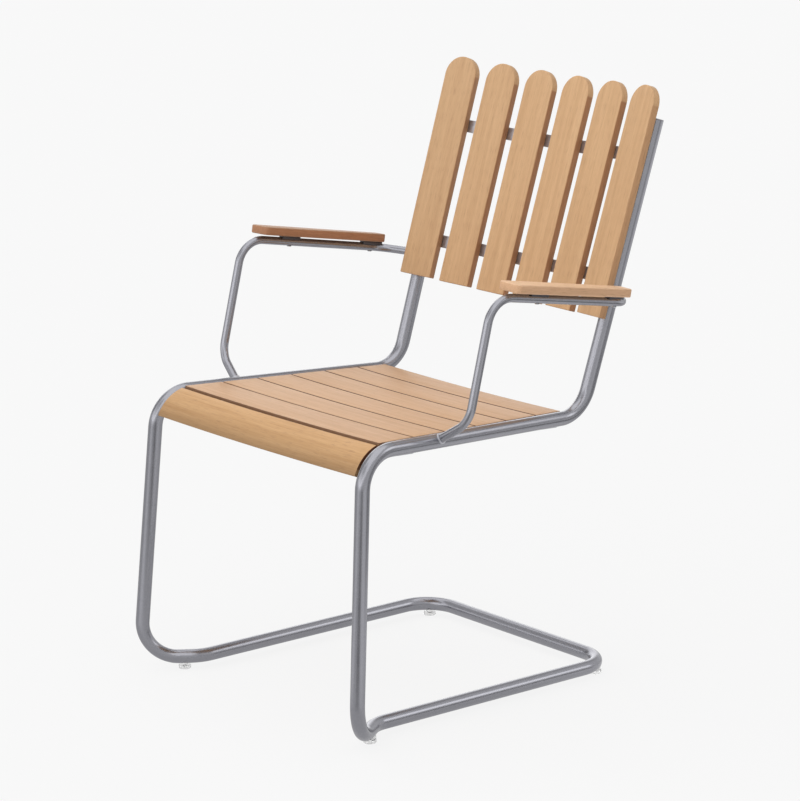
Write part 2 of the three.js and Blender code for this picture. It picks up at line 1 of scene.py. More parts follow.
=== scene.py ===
# %% [markdown]
# # A cantilever garden armchair
# One length of galvanised steel tube makes the whole frame: down the back, along the seat, down to the
# floor and round behind. There are no back legs, so the seat springs a little. Wooden slats fill the seat
# and the back, and two thinner tubes carry short wooden arm pads.
#
# The construction is already packed as a fixed frame of plain solids. This lesson dresses that frame: each
# solid is replaced by a smoother mesh in the same place, and each surface gets a finish.

# %% Load the fixed frame
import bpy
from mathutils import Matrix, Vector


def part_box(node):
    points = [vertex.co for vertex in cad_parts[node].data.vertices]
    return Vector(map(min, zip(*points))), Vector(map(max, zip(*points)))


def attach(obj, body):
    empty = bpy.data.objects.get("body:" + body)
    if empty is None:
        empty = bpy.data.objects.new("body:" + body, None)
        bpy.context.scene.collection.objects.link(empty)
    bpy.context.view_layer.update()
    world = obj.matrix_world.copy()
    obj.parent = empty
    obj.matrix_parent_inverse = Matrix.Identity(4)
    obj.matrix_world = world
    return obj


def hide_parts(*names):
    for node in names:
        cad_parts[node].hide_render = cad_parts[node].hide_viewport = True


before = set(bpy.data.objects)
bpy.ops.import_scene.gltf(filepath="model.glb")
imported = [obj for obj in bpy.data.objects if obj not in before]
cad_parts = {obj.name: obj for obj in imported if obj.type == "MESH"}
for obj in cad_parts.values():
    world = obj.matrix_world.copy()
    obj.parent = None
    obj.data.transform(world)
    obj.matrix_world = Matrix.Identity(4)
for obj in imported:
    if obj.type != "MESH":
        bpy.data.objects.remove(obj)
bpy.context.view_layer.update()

# %% Other modules
import math

import bmesh
import bpy
from mathutils import Matrix, Vector

# %% [markdown]
# ## Camera
# The photograph was taken with a long lens, from in front and towards the sitter's left, looking a little
# down. The camera's place was solved from the straight runs and the bends of the tube, so it is written
# here as one place, one turn and one lens. A guess moved by hand could look close, but the slats' slopes
# would show its error.

# %% Place the camera
CAMERA_PLACE = (3.79774, -3.17144, 1.61394)
CAMERA_AZIMUTH = math.radians(50.2487)
CAMERA_ELEVATION = math.radians(13.405)
CAMERA_LENS_MM = 148.46
SENSOR_MM = 36
CAMERA_REACH = 100

camera_data = bpy.data.cameras.new("camera")
camera_data.lens = CAMERA_LENS_MM
camera_data.sensor_width = SENSOR_MM
camera_data.sensor_fit = "HORIZONTAL"
camera_data.clip_end = CAMERA_REACH
camera = bpy.data.objects.new("camera", camera_data)
camera.location = CAMERA_PLACE
camera.rotation_euler = (math.pi / 2 - CAMERA_ELEVATION, 0, CAMERA_AZIMUTH)
bpy.context.scene.collection.objects.link(camera)
bpy.context.scene.camera = camera
print("camera at", [round(v, 2) for v in camera.location])

# %% [markdown]
# ## Helpers for making a piece
# Every piece is modelled at rest in the frame's own metres. A bmesh is shaped by operators, put in place by
# one matrix, and then made an object that stays at the origin. Wood needs to know which way its grain runs,
# so each wooden piece stores its own board coordinates in an attribute named grain before it is put in
# place. Object coordinates alone could not do this, because the slats lie at many angles.

# %% Axes of a board
X_AXIS = Vector((1, 0, 0))
Z_AXIS = Vector((0, 0, 1))


def axes(origin, across, along, normal):
    """A matrix that puts a piece's own X, Y and Z along three directions, at an origin."""
    matrix = Matrix((across, along, normal)).transposed().to_4x4()
    matrix.translation = origin
    return matrix


def node_in_axes(node, matrix):
    """A frame node's lowest and highest corners, measured along a board's own axes."""
    inverse = matrix.inverted()
    points = [inverse @ v.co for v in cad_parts[node].data.vertices]
    low = Vector([min(p[i] for p in points) for i in range(3)])
    high = Vector([max(p[i] for p in points) for i in range(3)])
    return low, high


# %% Turn a bmesh into a finished piece
SHARP_ANGLE = math.radians(35)
MERGE_DISTANCE = 1e-6


def make_piece(bm, name, material, nodes=()):
    """Closes the books on a bmesh: normals, smooth shading, material, and its place in the frame."""
    bmesh.ops.remove_doubles(bm, verts=bm.verts, dist=MERGE_DISTANCE)
    bmesh.ops.recalc_face_normals(bm, faces=bm.faces)
    for face in bm.faces:
        face.smooth = True
    for edge in bm.edges:
        edge.smooth = len(edge.link_faces) == 2 and edge.calc_face_angle() < SHARP_ANGLE
    mesh = bpy.data.meshes.new(name)
    bm.to_mesh(mesh)
    bm.free()
    mesh.materials.append(material)
    piece = bpy.data.objects.new(name, mesh)
    bpy.context.scene.collection.objects.link(piece)
    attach(piece, "root")
    if nodes:
        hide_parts(*nodes)
    return piece


# %% Round the edges of a board
EDGE_SEGMENTS = 3


def round_edges(bm, radius, segments=EDGE_SEGMENTS, least_angle=SHARP_ANGLE):
    """Bevels every edge where two faces meet at more than the least angle."""
    sharp = [e for e in bm.edges if len(e.link_faces) == 2 and e.calc_face_angle() > least_angle]
    bmesh.ops.bevel(
        bm, geom=sharp, offset=radius, segments=segments, profile=0.5, affect="EDGES", material=-1,
        clamp_overlap=True,
    )


def new_block(low, high):
    """A box between two corners."""
    bm = bmesh.new()
    bmesh.ops.create_cube(bm, size=1)
    size = high - low
    bmesh.ops.scale(bm, vec=size, verts=bm.verts)
    bmesh.ops.translate(bm, vec=(low + high) / 2, verts=bm.verts)
    return bm


# %% [markdown]
# ## Finishes
# The chair has two main finishes. Galvanised steel is dull zinc: a cool grey metal, faintly clouded and
# faintly spangled. The wood is a light hardwood with fine straight grain. Both are used by more than one
# material, so each is a node group with named inputs, built once. The Principled shader stays in the
# material itself.

# %% Small helpers for node trees
def new_group(name, inputs, outputs):
    """An empty shader node group with its sockets."""
    tree = bpy.data.node_groups.new(name, "ShaderNodeTree")
    for label, kind, value in inputs:
        socket = tree.interface.new_socket(label, in_out="INPUT", socket_type=kind)
        if value is not None:
            socket.default_value = value
    for label, kind in outputs:
        tree.interface.new_socket(label, in_out="OUTPUT", socket_type=kind)
    return tree, tree.nodes.new("NodeGroupInput"), tree.nodes.new("NodeGroupOutput")


def add_noise(tree, vector, scale, detail, roughness=0.5, distortion=0.0):
    """A noise texture's value output."""
    noise = tree.nodes.new("ShaderNodeTexNoise")
    noise.inputs["Scale"].default_value = scale
    noise.inputs["Detail"].default_value = detail
    noise.inputs["Roughness"].default_value = roughness
    noise.inputs["Distortion"].default_value = distortion
    tree.links.new(vector, noise.inputs["Vector"])
    return noise.outputs["Fac"]


def stretch(tree, vector, scale):
    """A Mapping node that stretches a pattern."""
    mapping = tree.nodes.new("ShaderNodeMapping")
    mapping.inputs["Scale"].default_value = scale
    tree.links.new(vector, mapping.inputs["Vector"])
    return mapping.outputs["Vector"]


def remap(tree, value, low, high, to_low=0.0, to_high=1.0):
    """A Map Range node, clamped."""
    node = tree.nodes.new("ShaderNodeMapRange")
    node.inputs["From Min"].default_value = low
    node.inputs["From Max"].default_value = high
    node.inputs["To Min"].default_value = to_low
    node.inputs["To Max"].default_value = to_high
    tree.links.new(value, node.inputs["Value"])
    return node.outputs["Result"]


def calculate(tree, operation, first, second):
    """A Math node on sockets or plain numbers."""
    node = tree.nodes.new("ShaderNodeMath")
    node.operation = operation
    for socket, value in zip(node.inputs, (first, second)):
        if isinstance(value, (int, float)):
            socket.default_value = value
        else:
            tree.links.new(value, socket)
    return node.outputs["Value"]


def mix_colours(tree, factor, first, second, blend="MIX"):
    """A colour Mix node on sockets or plain colours."""
    node = tree.nodes.new("ShaderNodeMix")
    node.data_type = "RGBA"
    node.blend_type = blend
    for index, value in ((0, factor), (6, first), (7, second)):
        if isinstance(value, (int, float, tuple)):
            node.inputs[index].default_value = value
        else:
            tree.links.new(value, node.inputs[index])
    return node.outputs[2]


# %% The zinc group
CLOUD_SCALE = 38
CLOUD_RANGE = (0.25, 0.75)
CLOUD_SHARE = 0.7
CLOUD_CORE = (0.3, 0.7)
CLOUD_ROUGHNESS = (-0.02, 0.03)
SPANGLE_SCALE = 240
SPANGLE_SHARE = 0.3
SPANGLE_HEIGHT = 0.4
SPECK_SCALE = 900


def build_zinc_group():
    """Clouded, faintly spangled zinc in a piece's own metres."""
    tree, given, result = new_group(
        "galvanised_zinc",
        [("Vector", "NodeSocketVector", None), ("Light", "NodeSocketColor", (0.5, 0.5, 0.5, 1)),
         ("Dark", "NodeSocketColor", (0.4, 0.4, 0.4, 1)), ("Roughness", "NodeSocketFloat", 0.35)],
        [("Color", "NodeSocketColor"), ("Roughness", "NodeSocketFloat"), ("Height", "NodeSocketFloat")],
    )
    vector = given.outputs["Vector"]
    clouds = add_noise(tree, vector, scale=CLOUD_SCALE, detail=4, roughness=0.6)
    spangle = tree.nodes.new("ShaderNodeTexVoronoi")
    spangle.inputs["Scale"].default_value = SPANGLE_SCALE
    tree.links.new(vector, spangle.inputs["Vector"])
    cells = calculate(tree, "MULTIPLY", spangle.outputs["Color"], SPANGLE_SHARE)
    tone = calculate(tree, "ADD", remap(tree, clouds, *CLOUD_RANGE, 0.0, CLOUD_SHARE), cells)
    colour = mix_colours(tree, tone, given.outputs["Dark"], given.outputs["Light"])
    specks = add_noise(tree, vector, scale=SPECK_SCALE, detail=3)
    unevenness = remap(tree, clouds, *CLOUD_CORE, *CLOUD_ROUGHNESS)
    rough = calculate(tree, "ADD", given.outputs["Roughness"], unevenness)
    relief = calculate(tree, "MULTIPLY", spangle.outputs["Distance"], SPANGLE_HEIGHT)
    height = calculate(tree, "ADD", specks, relief)
    tree.links.new(colour, result.inputs["Color"])
    tree.links.new(rough, result.inputs["Roughness"])
    tree.links.new(height, result.inputs["Height"])
    return tree


zinc_group = build_zinc_group()
print("zinc group nodes:", len(zinc_group.nodes))


# %% The wood group
BAND_SCALE = 130
BAND_STRETCH = (1, 0.03, 1)
BAND_RANGE = (0.32, 0.68)
BAND_SHARE = 0.55
FIBRE_SCALE = 620
FIBRE_STRETCH = (1, 0.02, 1)
FIBRE_RANGE = (0.3, 0.7)
FIBRE_SHARE = 0.45
PORE_SCALE = 1150
PORE_STRETCH = (1, 0.04, 1)
PORE_RANGE = (0.56, 0.72)
PORE_STRENGTH = 0.5
PORE_DEPTH = 0.8
WOOD_ROUGHNESS = (0.56, 0.46)


def build_wood_group():
    """Straight grain in board coordinates: X across the board, Y along the grain, Z through it."""
    tree, given, result = new_group(
        "straight_grain",
        [("Vector", "NodeSocketVector", None), ("Light", "NodeSocketColor", (0.6, 0.4, 0.2, 1)),
         ("Dark", "NodeSocketColor", (0.5, 0.3, 0.15, 1)), ("Pore", "NodeSocketColor", (0.3, 0.15, 0.07, 1)),
         ("Side Shade", "NodeSocketColor", (0.7, 0.6, 0.5, 1)), ("Side", "NodeSocketFloat", 0.0),
         ("Tone", "NodeSocketFloat", 1.0)],
        [("Color", "NodeSocketColor"), ("Roughness", "NodeSocketFloat"), ("Height", "NodeSocketFloat")],
    )
    vector = given.outputs["Vector"]
    bands = add_noise(tree, stretch(tree, vector, BAND_STRETCH), scale=BAND_SCALE, detail=3, distortion=0.15)
    fibres = add_noise(tree, stretch(tree, vector, FIBRE_STRETCH), scale=FIBRE_SCALE, detail=4, roughness=0.6)
    pores = add_noise(tree, stretch(tree, vector, PORE_STRETCH), scale=PORE_SCALE, detail=2)
    grain = calculate(
        tree, "ADD", remap(tree, bands, *BAND_RANGE, 0.0, BAND_SHARE),
        remap(tree, fibres, *FIBRE_RANGE, 0.0, FIBRE_SHARE),
    )
    colour = mix_colours(tree, grain, given.outputs["Dark"], given.outputs["Light"])
    pore_mask = remap(tree, pores, *PORE_RANGE)
    pore_share = calculate(tree, "MULTIPLY", pore_mask, PORE_STRENGTH)
    colour = mix_colours(tree, pore_share, colour, given.outputs["Pore"])
    # Painted shade: here the board's sides are darkened by multiplying with the side colour, by the share
    # each piece stores.
    side_in_shade = mix_colours(tree, 1.0, colour, given.outputs["Side Shade"], blend="MULTIPLY")
    colour = mix_colours(tree, given.outputs["Side"], colour, side_in_shade)
    brightness = tree.nodes.new("ShaderNodeHueSaturation")
    tree.links.new(given.outputs["Tone"], brightness.inputs["Value"])
    tree.links.new(colour, brightness.inputs["Color"])
    rough = remap(tree, fibres, *FIBRE_RANGE, *WOOD_ROUGHNESS)
    height = calculate(tree, "SUBTRACT", fibres, calculate(tree, "MULTIPLY", pore_mask, PORE_DEPTH))
    tree.links.new(brightness.outputs["Color"], result.inputs["Color"])
    tree.links.new(rough, result.inputs["Roughness"])
    tree.links.new(height, result.inputs["Height"])
    return tree


wood_group = build_wood_group()
print("wood group nodes:", len(wood_group.nodes))


# %% Materials from the groups
ZINC_METALLIC = 0.92
ZINC_BUMP = (0.02, 0.0003)
WOOD_START_ROUGHNESS = 0.5
WOOD_BUMP = (0.25, 0.0004)


def new_material(name, metallic, roughness):
    """A material with only its Principled shader set."""
    material = bpy.data.materials.new(name)
    material.use_nodes = True
    shader = material.node_tree.nodes["Principled BSDF"]
    shader.inputs["Metallic"].default_value = metallic
    shader.inputs["Roughness"].default_value = roughness
    return material, shader


def dress(material, shader, group, vector, colours, bump_strength, bump_distance):
    """Places a finish group in a material and joins it to the shader."""
    tree = material.node_tree
    finish = tree.nodes.new("ShaderNodeGroup")
    finish.node_tree = group
    for label, value in colours.items():
        finish.inputs[label].default_value = value
    tree.links.new(vector, finish.inputs["Vector"])
    tree.links.new(finish.outputs["Color"], shader.inputs["Base Color"])
    tree.links.new(finish.outputs["Roughness"], shader.inputs["Roughness"])
    bump = tree.nodes.new("ShaderNodeBump")
    bump.inputs["Strength"].default_value = bump_strength
    bump.inputs["Distance"].default_value = bump_distance
    tree.links.new(finish.outputs["Height"], bump.inputs["Height"])
    tree.links.new(bump.outputs["Normal"], shader.inputs["Normal"])
    return material


def zinc_material(name, light, dark, roughness):
    """Galvanised metal on Object coordinates."""
    material, shader = new_material(name, metallic=ZINC_METALLIC, roughness=roughness)
    place = material.node_tree.nodes.new("ShaderNodeTexCoord").outputs["Object"]
    colours = {"Light": light, "Dark": dark, "Roughness": roughness}
    return dress(material, shader, zinc_group, place, colours, *ZINC_BUMP)


def wood_material(name, light, dark, pore, side_shade):
    """Oiled wood on the board coordinates, with the painted side shade's mask and tone that each piece
    stores.
    """
    material, shader = new_material(name, metallic=0, roughness=WOOD_START_ROUGHNESS)
    read = {}
    for label in ("grain", "side", "tone"):
        read[label] = material.node_tree.nodes.new("ShaderNodeAttribute")
        read[label].attribute_name = label
    colours = {"Light": light, "Dark": dark, "Pore": pore, "Side Shade": side_shade}
    dress(material, shader, wood_group, read["grain"].outputs["Vector"], colours, *WOOD_BUMP)
    finish = next(n for n in material.node_tree.nodes if n.type == "GROUP")
    material.node_tree.links.new(read["side"].outputs["Fac"], finish.inputs["Side"])
    material.node_tree.links.new(read["tone"].outputs["Fac"], finish.inputs["Tone"])
    return material


tube_zinc = zinc_material("tube_zinc", (0.33, 0.33, 0.36, 1), (0.295, 0.295, 0.325, 1), roughness=0.24)
bar_zinc = zinc_material("bar_zinc", (0.58, 0.59, 0.63, 1), (0.48, 0.49, 0.53, 1), roughness=0.36)
weld_zinc = zinc_material("weld_zinc", (0.52, 0.52, 0.56, 1), (0.42, 0.42, 0.46, 1), roughness=0.3)
# Painted shade: a very dark zinc for the pad saddles, which stand in the shaded gap under each pad.
shaded_saddle_zinc = zinc_material("shaded_saddle_zinc", (0.13, 0.125, 0.135, 1), (0.1, 0.095, 0.105, 1), roughness=0.5)
screw_zinc = zinc_material("screw_zinc", (0.62, 0.62, 0.64, 1), (0.5, 0.5, 0.52, 1), roughness=0.28)
# Painted shade on the back slats' sides, which get less light than their faces.
PAINTED_SIDE_SHADE = (0.66, 0.5, 0.42, 1)
slat_wood = wood_material(
    "slat_wood", (0.67, 0.42, 0.22, 1), (0.55, 0.32, 0.155, 1), (0.33, 0.16, 0.07, 1), PAINTED_SIDE_SHADE,
)
# Painted shade: the seat and nosing boards' sides are coloured very dark, for the little light between
# boards.
SHADED_SIDE = (0.17, 0.08, 0.035, 1)
seat_wood = wood_material(
    "seat_wood", (0.67, 0.415, 0.235, 1), (0.56, 0.32, 0.165, 1), (0.36, 0.18, 0.08, 1), SHADED_SIDE,
)
nosing_wood = wood_material(
    "nosing_wood", (0.68, 0.405, 0.187, 1), (0.51, 0.272, 0.102, 1), (0.3, 0.14, 0.055, 1), SHADED_SIDE,
)
# The pads' side colours darken their sides and turn them redder: painted shade.
pad_wood = wood_material(
    "pad_wood", (0.45, 0.256, 0.148, 1), (0.345, 0.19, 0.1, 1), (0.22, 0.1, 0.045, 1), (1.0, 0.82, 0.72, 1),
)
pale_pad_wood = wood_material(
    "pale_pad_wood", (0.9, 0.6, 0.38, 1), (0.73, 0.46, 0.275, 1), (0.42, 0.22, 0.1, 1), (0.83, 0.76, 0.7, 1),
)

# %% [markdown]
# ## Plastics
# The feet are moulded in nearly clear plastic with a satin surface, so light comes through them. The plugs
# in the tube ends are grey. Both surfaces have a faint moulded unevenness, made by one noise in the bump.

# %% Plastic materials
PLASTIC_CLOUD_SCALE = 160
PLASTIC_GRAIN_SCALE = 700
PALER = 1.05
PLASTIC_BUMP_STRENGTH = 0.1
PLASTIC_BUMP_DISTANCE = 0.0002


def plastic_material(name, colour, roughness, transmission, ior=1.45):
    """Moulded plastic with a faint unevenness."""
    material, shader = new_material(name, metallic=0, roughness=roughness)
    tree = material.node_tree
    shader.inputs["Transmission Weight"].default_value = transmission
    shader.inputs["IOR"].default_value = ior
    place = tree.nodes.new("ShaderNodeTexCoord").outputs["Object"]
    cloud = add_noise(tree, place, scale=PLASTIC_CLOUD_SCALE, detail=3)
    paler = tuple(min(1.0, c * PALER) for c in colour[:3]) + (1.0,)
    tree.links.new(mix_colours(tree, cloud, colour, paler), shader.inputs["Base Color"])
    bump = tree.nodes.new("ShaderNodeBump")
    bump.inputs["Strength"].default_value = PLASTIC_BUMP_STRENGTH
    bump.inputs["Distance"].default_value = PLASTIC_BUMP_DISTANCE
    tree.links.new(add_noise(tree, place, scale=PLASTIC_GRAIN_SCALE, detail=2), bump.inputs["Height"])
    tree.links.new(bump.outputs["Normal"], shader.inputs["Normal"])
    return material


clear_plastic = plastic_material("clear_plastic", (1, 1, 1, 1), roughness=0.25, transmission=0.85, ior=1.15)
grey_plastic = plastic_material("grey_plastic", (0.33, 0.32, 0.35, 1), roughness=0.45, transmission=0.0)
print("materials:", len(bpy.data.materials))

# %% [markdown]
# ## The main tube
# A tube bender keeps straights straight and lays each bend on one round former. The mesh is made the same
# way: a ring of edges is extruded along each straight and spun about the centre of each bend, so the rings
# sit only where the tube turns. A curve with a bevel would be quicker to write, but its rings would cut the
# bends unevenly. A real bend also squeezes the tube a little flatter, which squeeze_bend does.

# %% Sizes of the main tube
TUBE_RADIUS = 0.011
BEND_RADIUS = 0.056
FLOOR_TUBE_HEIGHT = 0.008 + TUBE_RADIUS
TUBE_SIDES = 40
BEND_STEP = math.radians(4)
BEND_SQUEEZE = 0.05

UPRIGHT_TOP = Vector((0.2277, 0.3039, 0.8676))
SEAT_REAR = Vector((0.2186, 0.1637, 0.4269))
SEAT_FRONT = Vector((0.2515, -0.2902, 0.446))
LEG_FOOT = Vector((0.27, -0.3192, FLOOR_TUBE_HEIGHT))
CURL = Vector((0.215, -0.2397, FLOOR_TUBE_HEIGHT))
RUNNER_REAR = Vector((0.2174, 0.2351, FLOOR_TUBE_HEIGHT))


def mirrored(point, sign):
    """A point given on the left side, moved to the side with that sign."""
    return Vector((sign * point.x, point.y, point.z))


side_corners = [UPRIGHT_TOP, SEAT_REAR, SEAT_FRONT, LEG_FOOT, CURL, RUNNER_REAR]
frame_corners = [mirrored(c, -1) for c in side_corners] + list(reversed(side_corners))


# %% Extrude and spin a tube
def extrude_run(bm, edges, step):
    """Carries an open ring of edges straight on by a step."""
    made = bmesh.ops.extrude_edge_only(bm, edges=edges)["geom"]
    moved = [g for g in made if isinstance(g, bmesh.types.BMVert)]
    bmesh.ops.translate(bm, vec=step, verts=moved)
    return [g for g in made if isinstance(g, bmesh.types.BMEdge)]


def squeeze_bend(points, centre, radius, start, to_centre, turn):
    """Flattens a bend towards its centre-line, most at its middle and not at all at its ends."""
    for vert in points:
        arm = vert.co - centre
        forward = arm.dot(start)
        inward = -arm.dot(to_centre)
        share = math.atan2(forward, inward) / turn
        distance = math.hypot(forward, inward)
        change = (radius - distance) * BEND_SQUEEZE * math.sin(math.pi * min(max(share, 0), 1))
        vert.co += (start * forward - to_centre * inward) / distance * change


def sweep_ring(bm, edges, corners, bend_radius):
    """Carries a ring of edges along straights joined by round bends."""
    here = corners[0]
    for before, corner, after in zip(corners, corners[1:], corners[2:]):
        inward = (corner - before).normalized()
        outward = (after - corner).normalized()
        turn = inward.angle(outward)
        setback = bend_radius * math.tan(turn / 2)
        bend_start = corner - inward * setback
        edges = extrude_run(bm, edges, bend_start - here)
        to_centre = (outward - inward * inward.dot(outward)).normalized()
        centre = bend_start + to_centre * bend_radius
        known = set(bm.verts)
        spun = bmesh.ops.spin(
            bm, geom=edges, cent=centre, axis=inward.cross(outward), angle=turn,
            steps=max(2, math.ceil(turn / BEND_STEP)), use_merge=False, use_normal_flip=False,
            use_duplicate=False,
        )
        edges = [g for g in spun["geom_last"] if isinstance(g, bmesh.types.BMEdge)]
        bend_verts = [v for v in bm.verts if v not in known]
        squeeze_bend(bend_verts, centre, bend_radius, inward, to_centre, turn)
        here = corner + outward * setback
    return extrude_run(bm, edges, corners[-1] - here)


def tube_between(corners, radius, bend_radius, sides):
    """A closed round bar bent along its corners."""
    bm = bmesh.new()
    bmesh.ops.create_circle(bm, segments=sides, radius=radius)
    facing = (corners[1] - corners[0]).to_track_quat("Z", "Y").to_matrix().to_4x4()
    bmesh.ops.transform(bm, matrix=Matrix.Translation(corners[0]) @ facing, verts=bm.verts)
    first = bm.edges[:]
    last = sweep_ring(bm, first, corners, bend_radius)
    bmesh.ops.edgeloop_fill(bm, edges=first)
    bmesh.ops.edgeloop_fill(bm, edges=last)
    return bm


# %% Bend the main tube
frame_mesh = tube_between(frame_corners, TUBE_RADIUS, BEND_RADIUS, TUBE_SIDES)
end_ring_radius = min((v.co - frame_corners[-1]).length for v in frame_mesh.verts)
frame_piece = make_piece(frame_mesh, "frame_tube_bent", tube_zinc, ["frame_tube"])
print("main tube faces:", len(frame_piece.data.polygons), "end ring radius:", round(end_ring_radius, 4))

# %% [markdown]
# ## Plugs in the uprights
# Each open end of the tube has a grey plastic plug with a low round head. A short cylinder with bevelled
# rims is enough, since only the head shows.

# %% Make the plugs
PLUG_HEAD = 0.002
PLUG_EDGE = 0.0012
SIDES = (("right", -1), ("left", 1))

for side, sign in SIDES:
    plug = bmesh.new()
    bmesh.ops.create_cone(
        plug, cap_ends=True, segments=TUBE_SIDES, radius1=TUBE_RADIUS, radius2=TUBE_RADIUS, depth=PLUG_HEAD,
    )
    bmesh.ops.translate(plug, vec=(0, 0, PLUG_HEAD / 2), verts=plug.verts)
    round_edges(plug, PLUG_EDGE / 2)
    top = mirrored(UPRIGHT_TOP, sign)
    rise = (top - mirrored(SEAT_REAR, sign)).normalized()
    turn = rise.to_track_quat("Z", "Y").to_matrix().to_4x4()
    bmesh.ops.transform(plug, matrix=Matrix.Translation(top) @ turn, verts=plug.verts)
    make_piece(plug, f"plug_head_{side}", grey_plastic, [f"tube_plug_{side}"])
print("plug head height:", PLUG_HEAD)

# %% [markdown]
# ## Feet
# A foot is a thin round pad under a narrow saddle that clips on to the tube. The frame's foot node gives
# its place. The pad is a bevelled disc, and the saddle a bevelled block that the tube sinks into.

# %% Make the feet
FOOT_PAD_HEIGHT = 0.0055
FOOT_RADIUS = 0.0097
FOOT_SADDLE = Vector((0.017, 0.009, 0.0125))
FOOT_EDGE = 0.001
FOOT_SADDLE_START_SHARE = 0.8
FOOT_SIDES = 40


def foot_direction(end, sign):
    """The way that the tube runs over a foot."""
    if end == "front":
        return (mirrored(CURL, sign) - mirrored(LEG_FOOT, sign)).normalized()
    corner = mirrored(RUNNER_REAR, sign)
    coming = (corner - mirrored(CURL, sign)).normalized()
    return (coming + Vector((-sign, 0, 0))).normalized()


for side, sign in SIDES:
    for end in ("front", "rear"):
        node = f"foot_{end}_{side}"
        low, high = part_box(node)
        along = foot_direction(end, sign)
        middle = Vector(((low.x + high.x) / 2, (low.y + high.y) / 2, 0))
        place = axes(middle, along.cross(Z_AXIS), along, Z_AXIS)
        foot = bmesh.new()
        bmesh.ops.create_cone(
            foot, cap_ends=True, segments=FOOT_SIDES, radius1=FOOT_RADIUS, radius2=FOOT_RADIUS,
            depth=FOOT_PAD_HEIGHT,
        )
        bmesh.ops.translate(foot, vec=(0, 0, FOOT_PAD_HEIGHT / 2), verts=foot.verts)
        round_edges(foot, FOOT_EDGE)
        half = FOOT_SADDLE / 2
        start = FOOT_PAD_HEIGHT * FOOT_SADDLE_START_SHARE
        saddle = new_block(Vector((-half.x, -half.y, start)), Vector((half.x, half.y, FOOT_SADDLE.z)))
        round_edges(saddle, FOOT_EDGE)
        saddle_mesh = bpy.data.meshes.new("saddle")
        saddle.to_mesh(saddle_mesh)
        saddle.free()
        foot.from_mesh(saddle_mesh)
        bpy.data.meshes.remove(saddle_mesh)
        bmesh.ops.transform(foot, matrix=place, verts=foot.verts)
        make_piece(foot, f"clear_foot_{end}_{side}", clear_plastic, [node])

# %% [markdown]
# ## Seat slats
# The slats lie between the side tubes, in the plane of the tubes' centre-lines. Their ends follow the
# tubes, which draw together towards the back, so each slat is a little shorter at its rear edge, and the
# seat is slightly hollow: every board lies lower in its middle than at its ends. A cube is scaled to the
# slat, its rear corners are drawn in and its edges rounded. Then it is cut across by many planes, so that
# it can be sunk in a smooth line. The board coordinates are stored before the slat is put in place, with a
# jump from slat to slat so that no two boards have the same figure. Little light falls between two boards,
# so the sides there are given a painted shade, a darker colour, while a free edge, such as the rear one of
# the last slat, is given only a little of it.

# %% Axes of the seat
SEAT_FRONT_MIDDLE = Vector((0, SEAT_FRONT.y, SEAT_FRONT.z))
SEAT_REAR_MIDDLE = Vector((0, SEAT_REAR.y, SEAT_REAR.z))
seat_rearward = (SEAT_REAR_MIDDLE - SEAT_FRONT_MIDDLE).normalized()
seat_axes = axes(SEAT_FRONT_MIDDLE, X_AXIS, seat_rearward, X_AXIS.cross(seat_rearward))
GRAIN_JUMP = Vector((1.7, 3.1, 0.9))
SAME_PLACE = 1e-4


def store_grain(bm, across, along, through, number, tone=1.0):
    """Stores board coordinates and a tone; three arguments say which of the piece's own axes is which."""
    layer = bm.verts.layers.float_vector.new("grain")
    tone_layer = bm.verts.layers.float.new("tone")
    for vert in bm.verts:
        vert[layer] = Vector((vert.co[across], vert.co[along], vert.co[through])) + GRAIN_JUMP * number
        vert[tone_layer] = tone


def mark_sides(bm, depth_of, thickness, edge, share_of=lambda point: 1.0):
    """Stores the painted side shade's share, 1 unless told, on a board's sides and 0 on its faces, with a
    ramp round its edges.
    """
    layer = bm.verts.layers.float.new("side")
    for vert in bm.verts:
        depth = depth_of(vert.co)
        vert[layer] = min(max(min(depth, thickness - depth) / edge, 0.0), 1.0) * share_of(vert.co)


def half_length_at(node, matrix, run):
    """Half the length of a node across X, at one of its edges."""
    inverse = matrix.inverted()
    points = [inverse @ v.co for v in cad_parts[node].data.vertices]
    return max(abs(p.x) for p in points if abs(p.y - run) < SAME_PLACE)


# %% Sink a board of the seat in its middle
SEAT_HOLLOW = 0.0024
SEAT_CUTS = 24


def cut_across(bm, half_length):
    """Cuts a board by evenly spaced planes across X."""
    for step in range(1, SEAT_CUTS):
        x = half_length * (2 * step / SEAT_CUTS - 1)
        bmesh.ops.bisect_plane(
            bm, geom=bm.verts[:] + bm.edges[:] + bm.faces[:], plane_co=(x, 0, 0), plane_no=X_AXIS,
            dist=MERGE_DISTANCE,
        )


def sink(bm, half_length_of):
    """Lowers a board by most in its middle and by nothing at its ends."""
    for vert in bm.verts:
        share = vert.co.x / half_length_of(vert.co)
        vert.co.z -= SEAT_HOLLOW * (1 - min(share * share, 1))


# %% Make the seat slats
SEAT_SLATS = 6
SEAT_SLAT_TOP = 0.0087
SEAT_SLAT_THICKNESS = 0.0125
SEAT_SLAT_EDGE = 0.0003
SEAT_TONES = (0.99, 0.99, 0.99, 0.98, 0.96, 0.93)
# Shares of the painted side shade on each seat board, less on the first two, and little on the free rear edge
# of the last.
SEAT_SIDE_SHARES = (0.68, 0.8, 1.0, 1.0, 1.0, 1.0)
FREE_SIDE_SHARE = 0.25
SIDE_RAMP = 0.0001


def seat_side_share(number, point, middle):
    """The painted shade of a seat board's sides: deep between two boards, light on the free rear edge of the
    last.
    """
    if number == SEAT_SLATS and point.y > middle:
        return FREE_SIDE_SHARE
    return SEAT_SIDE_SHARES[number - 1]


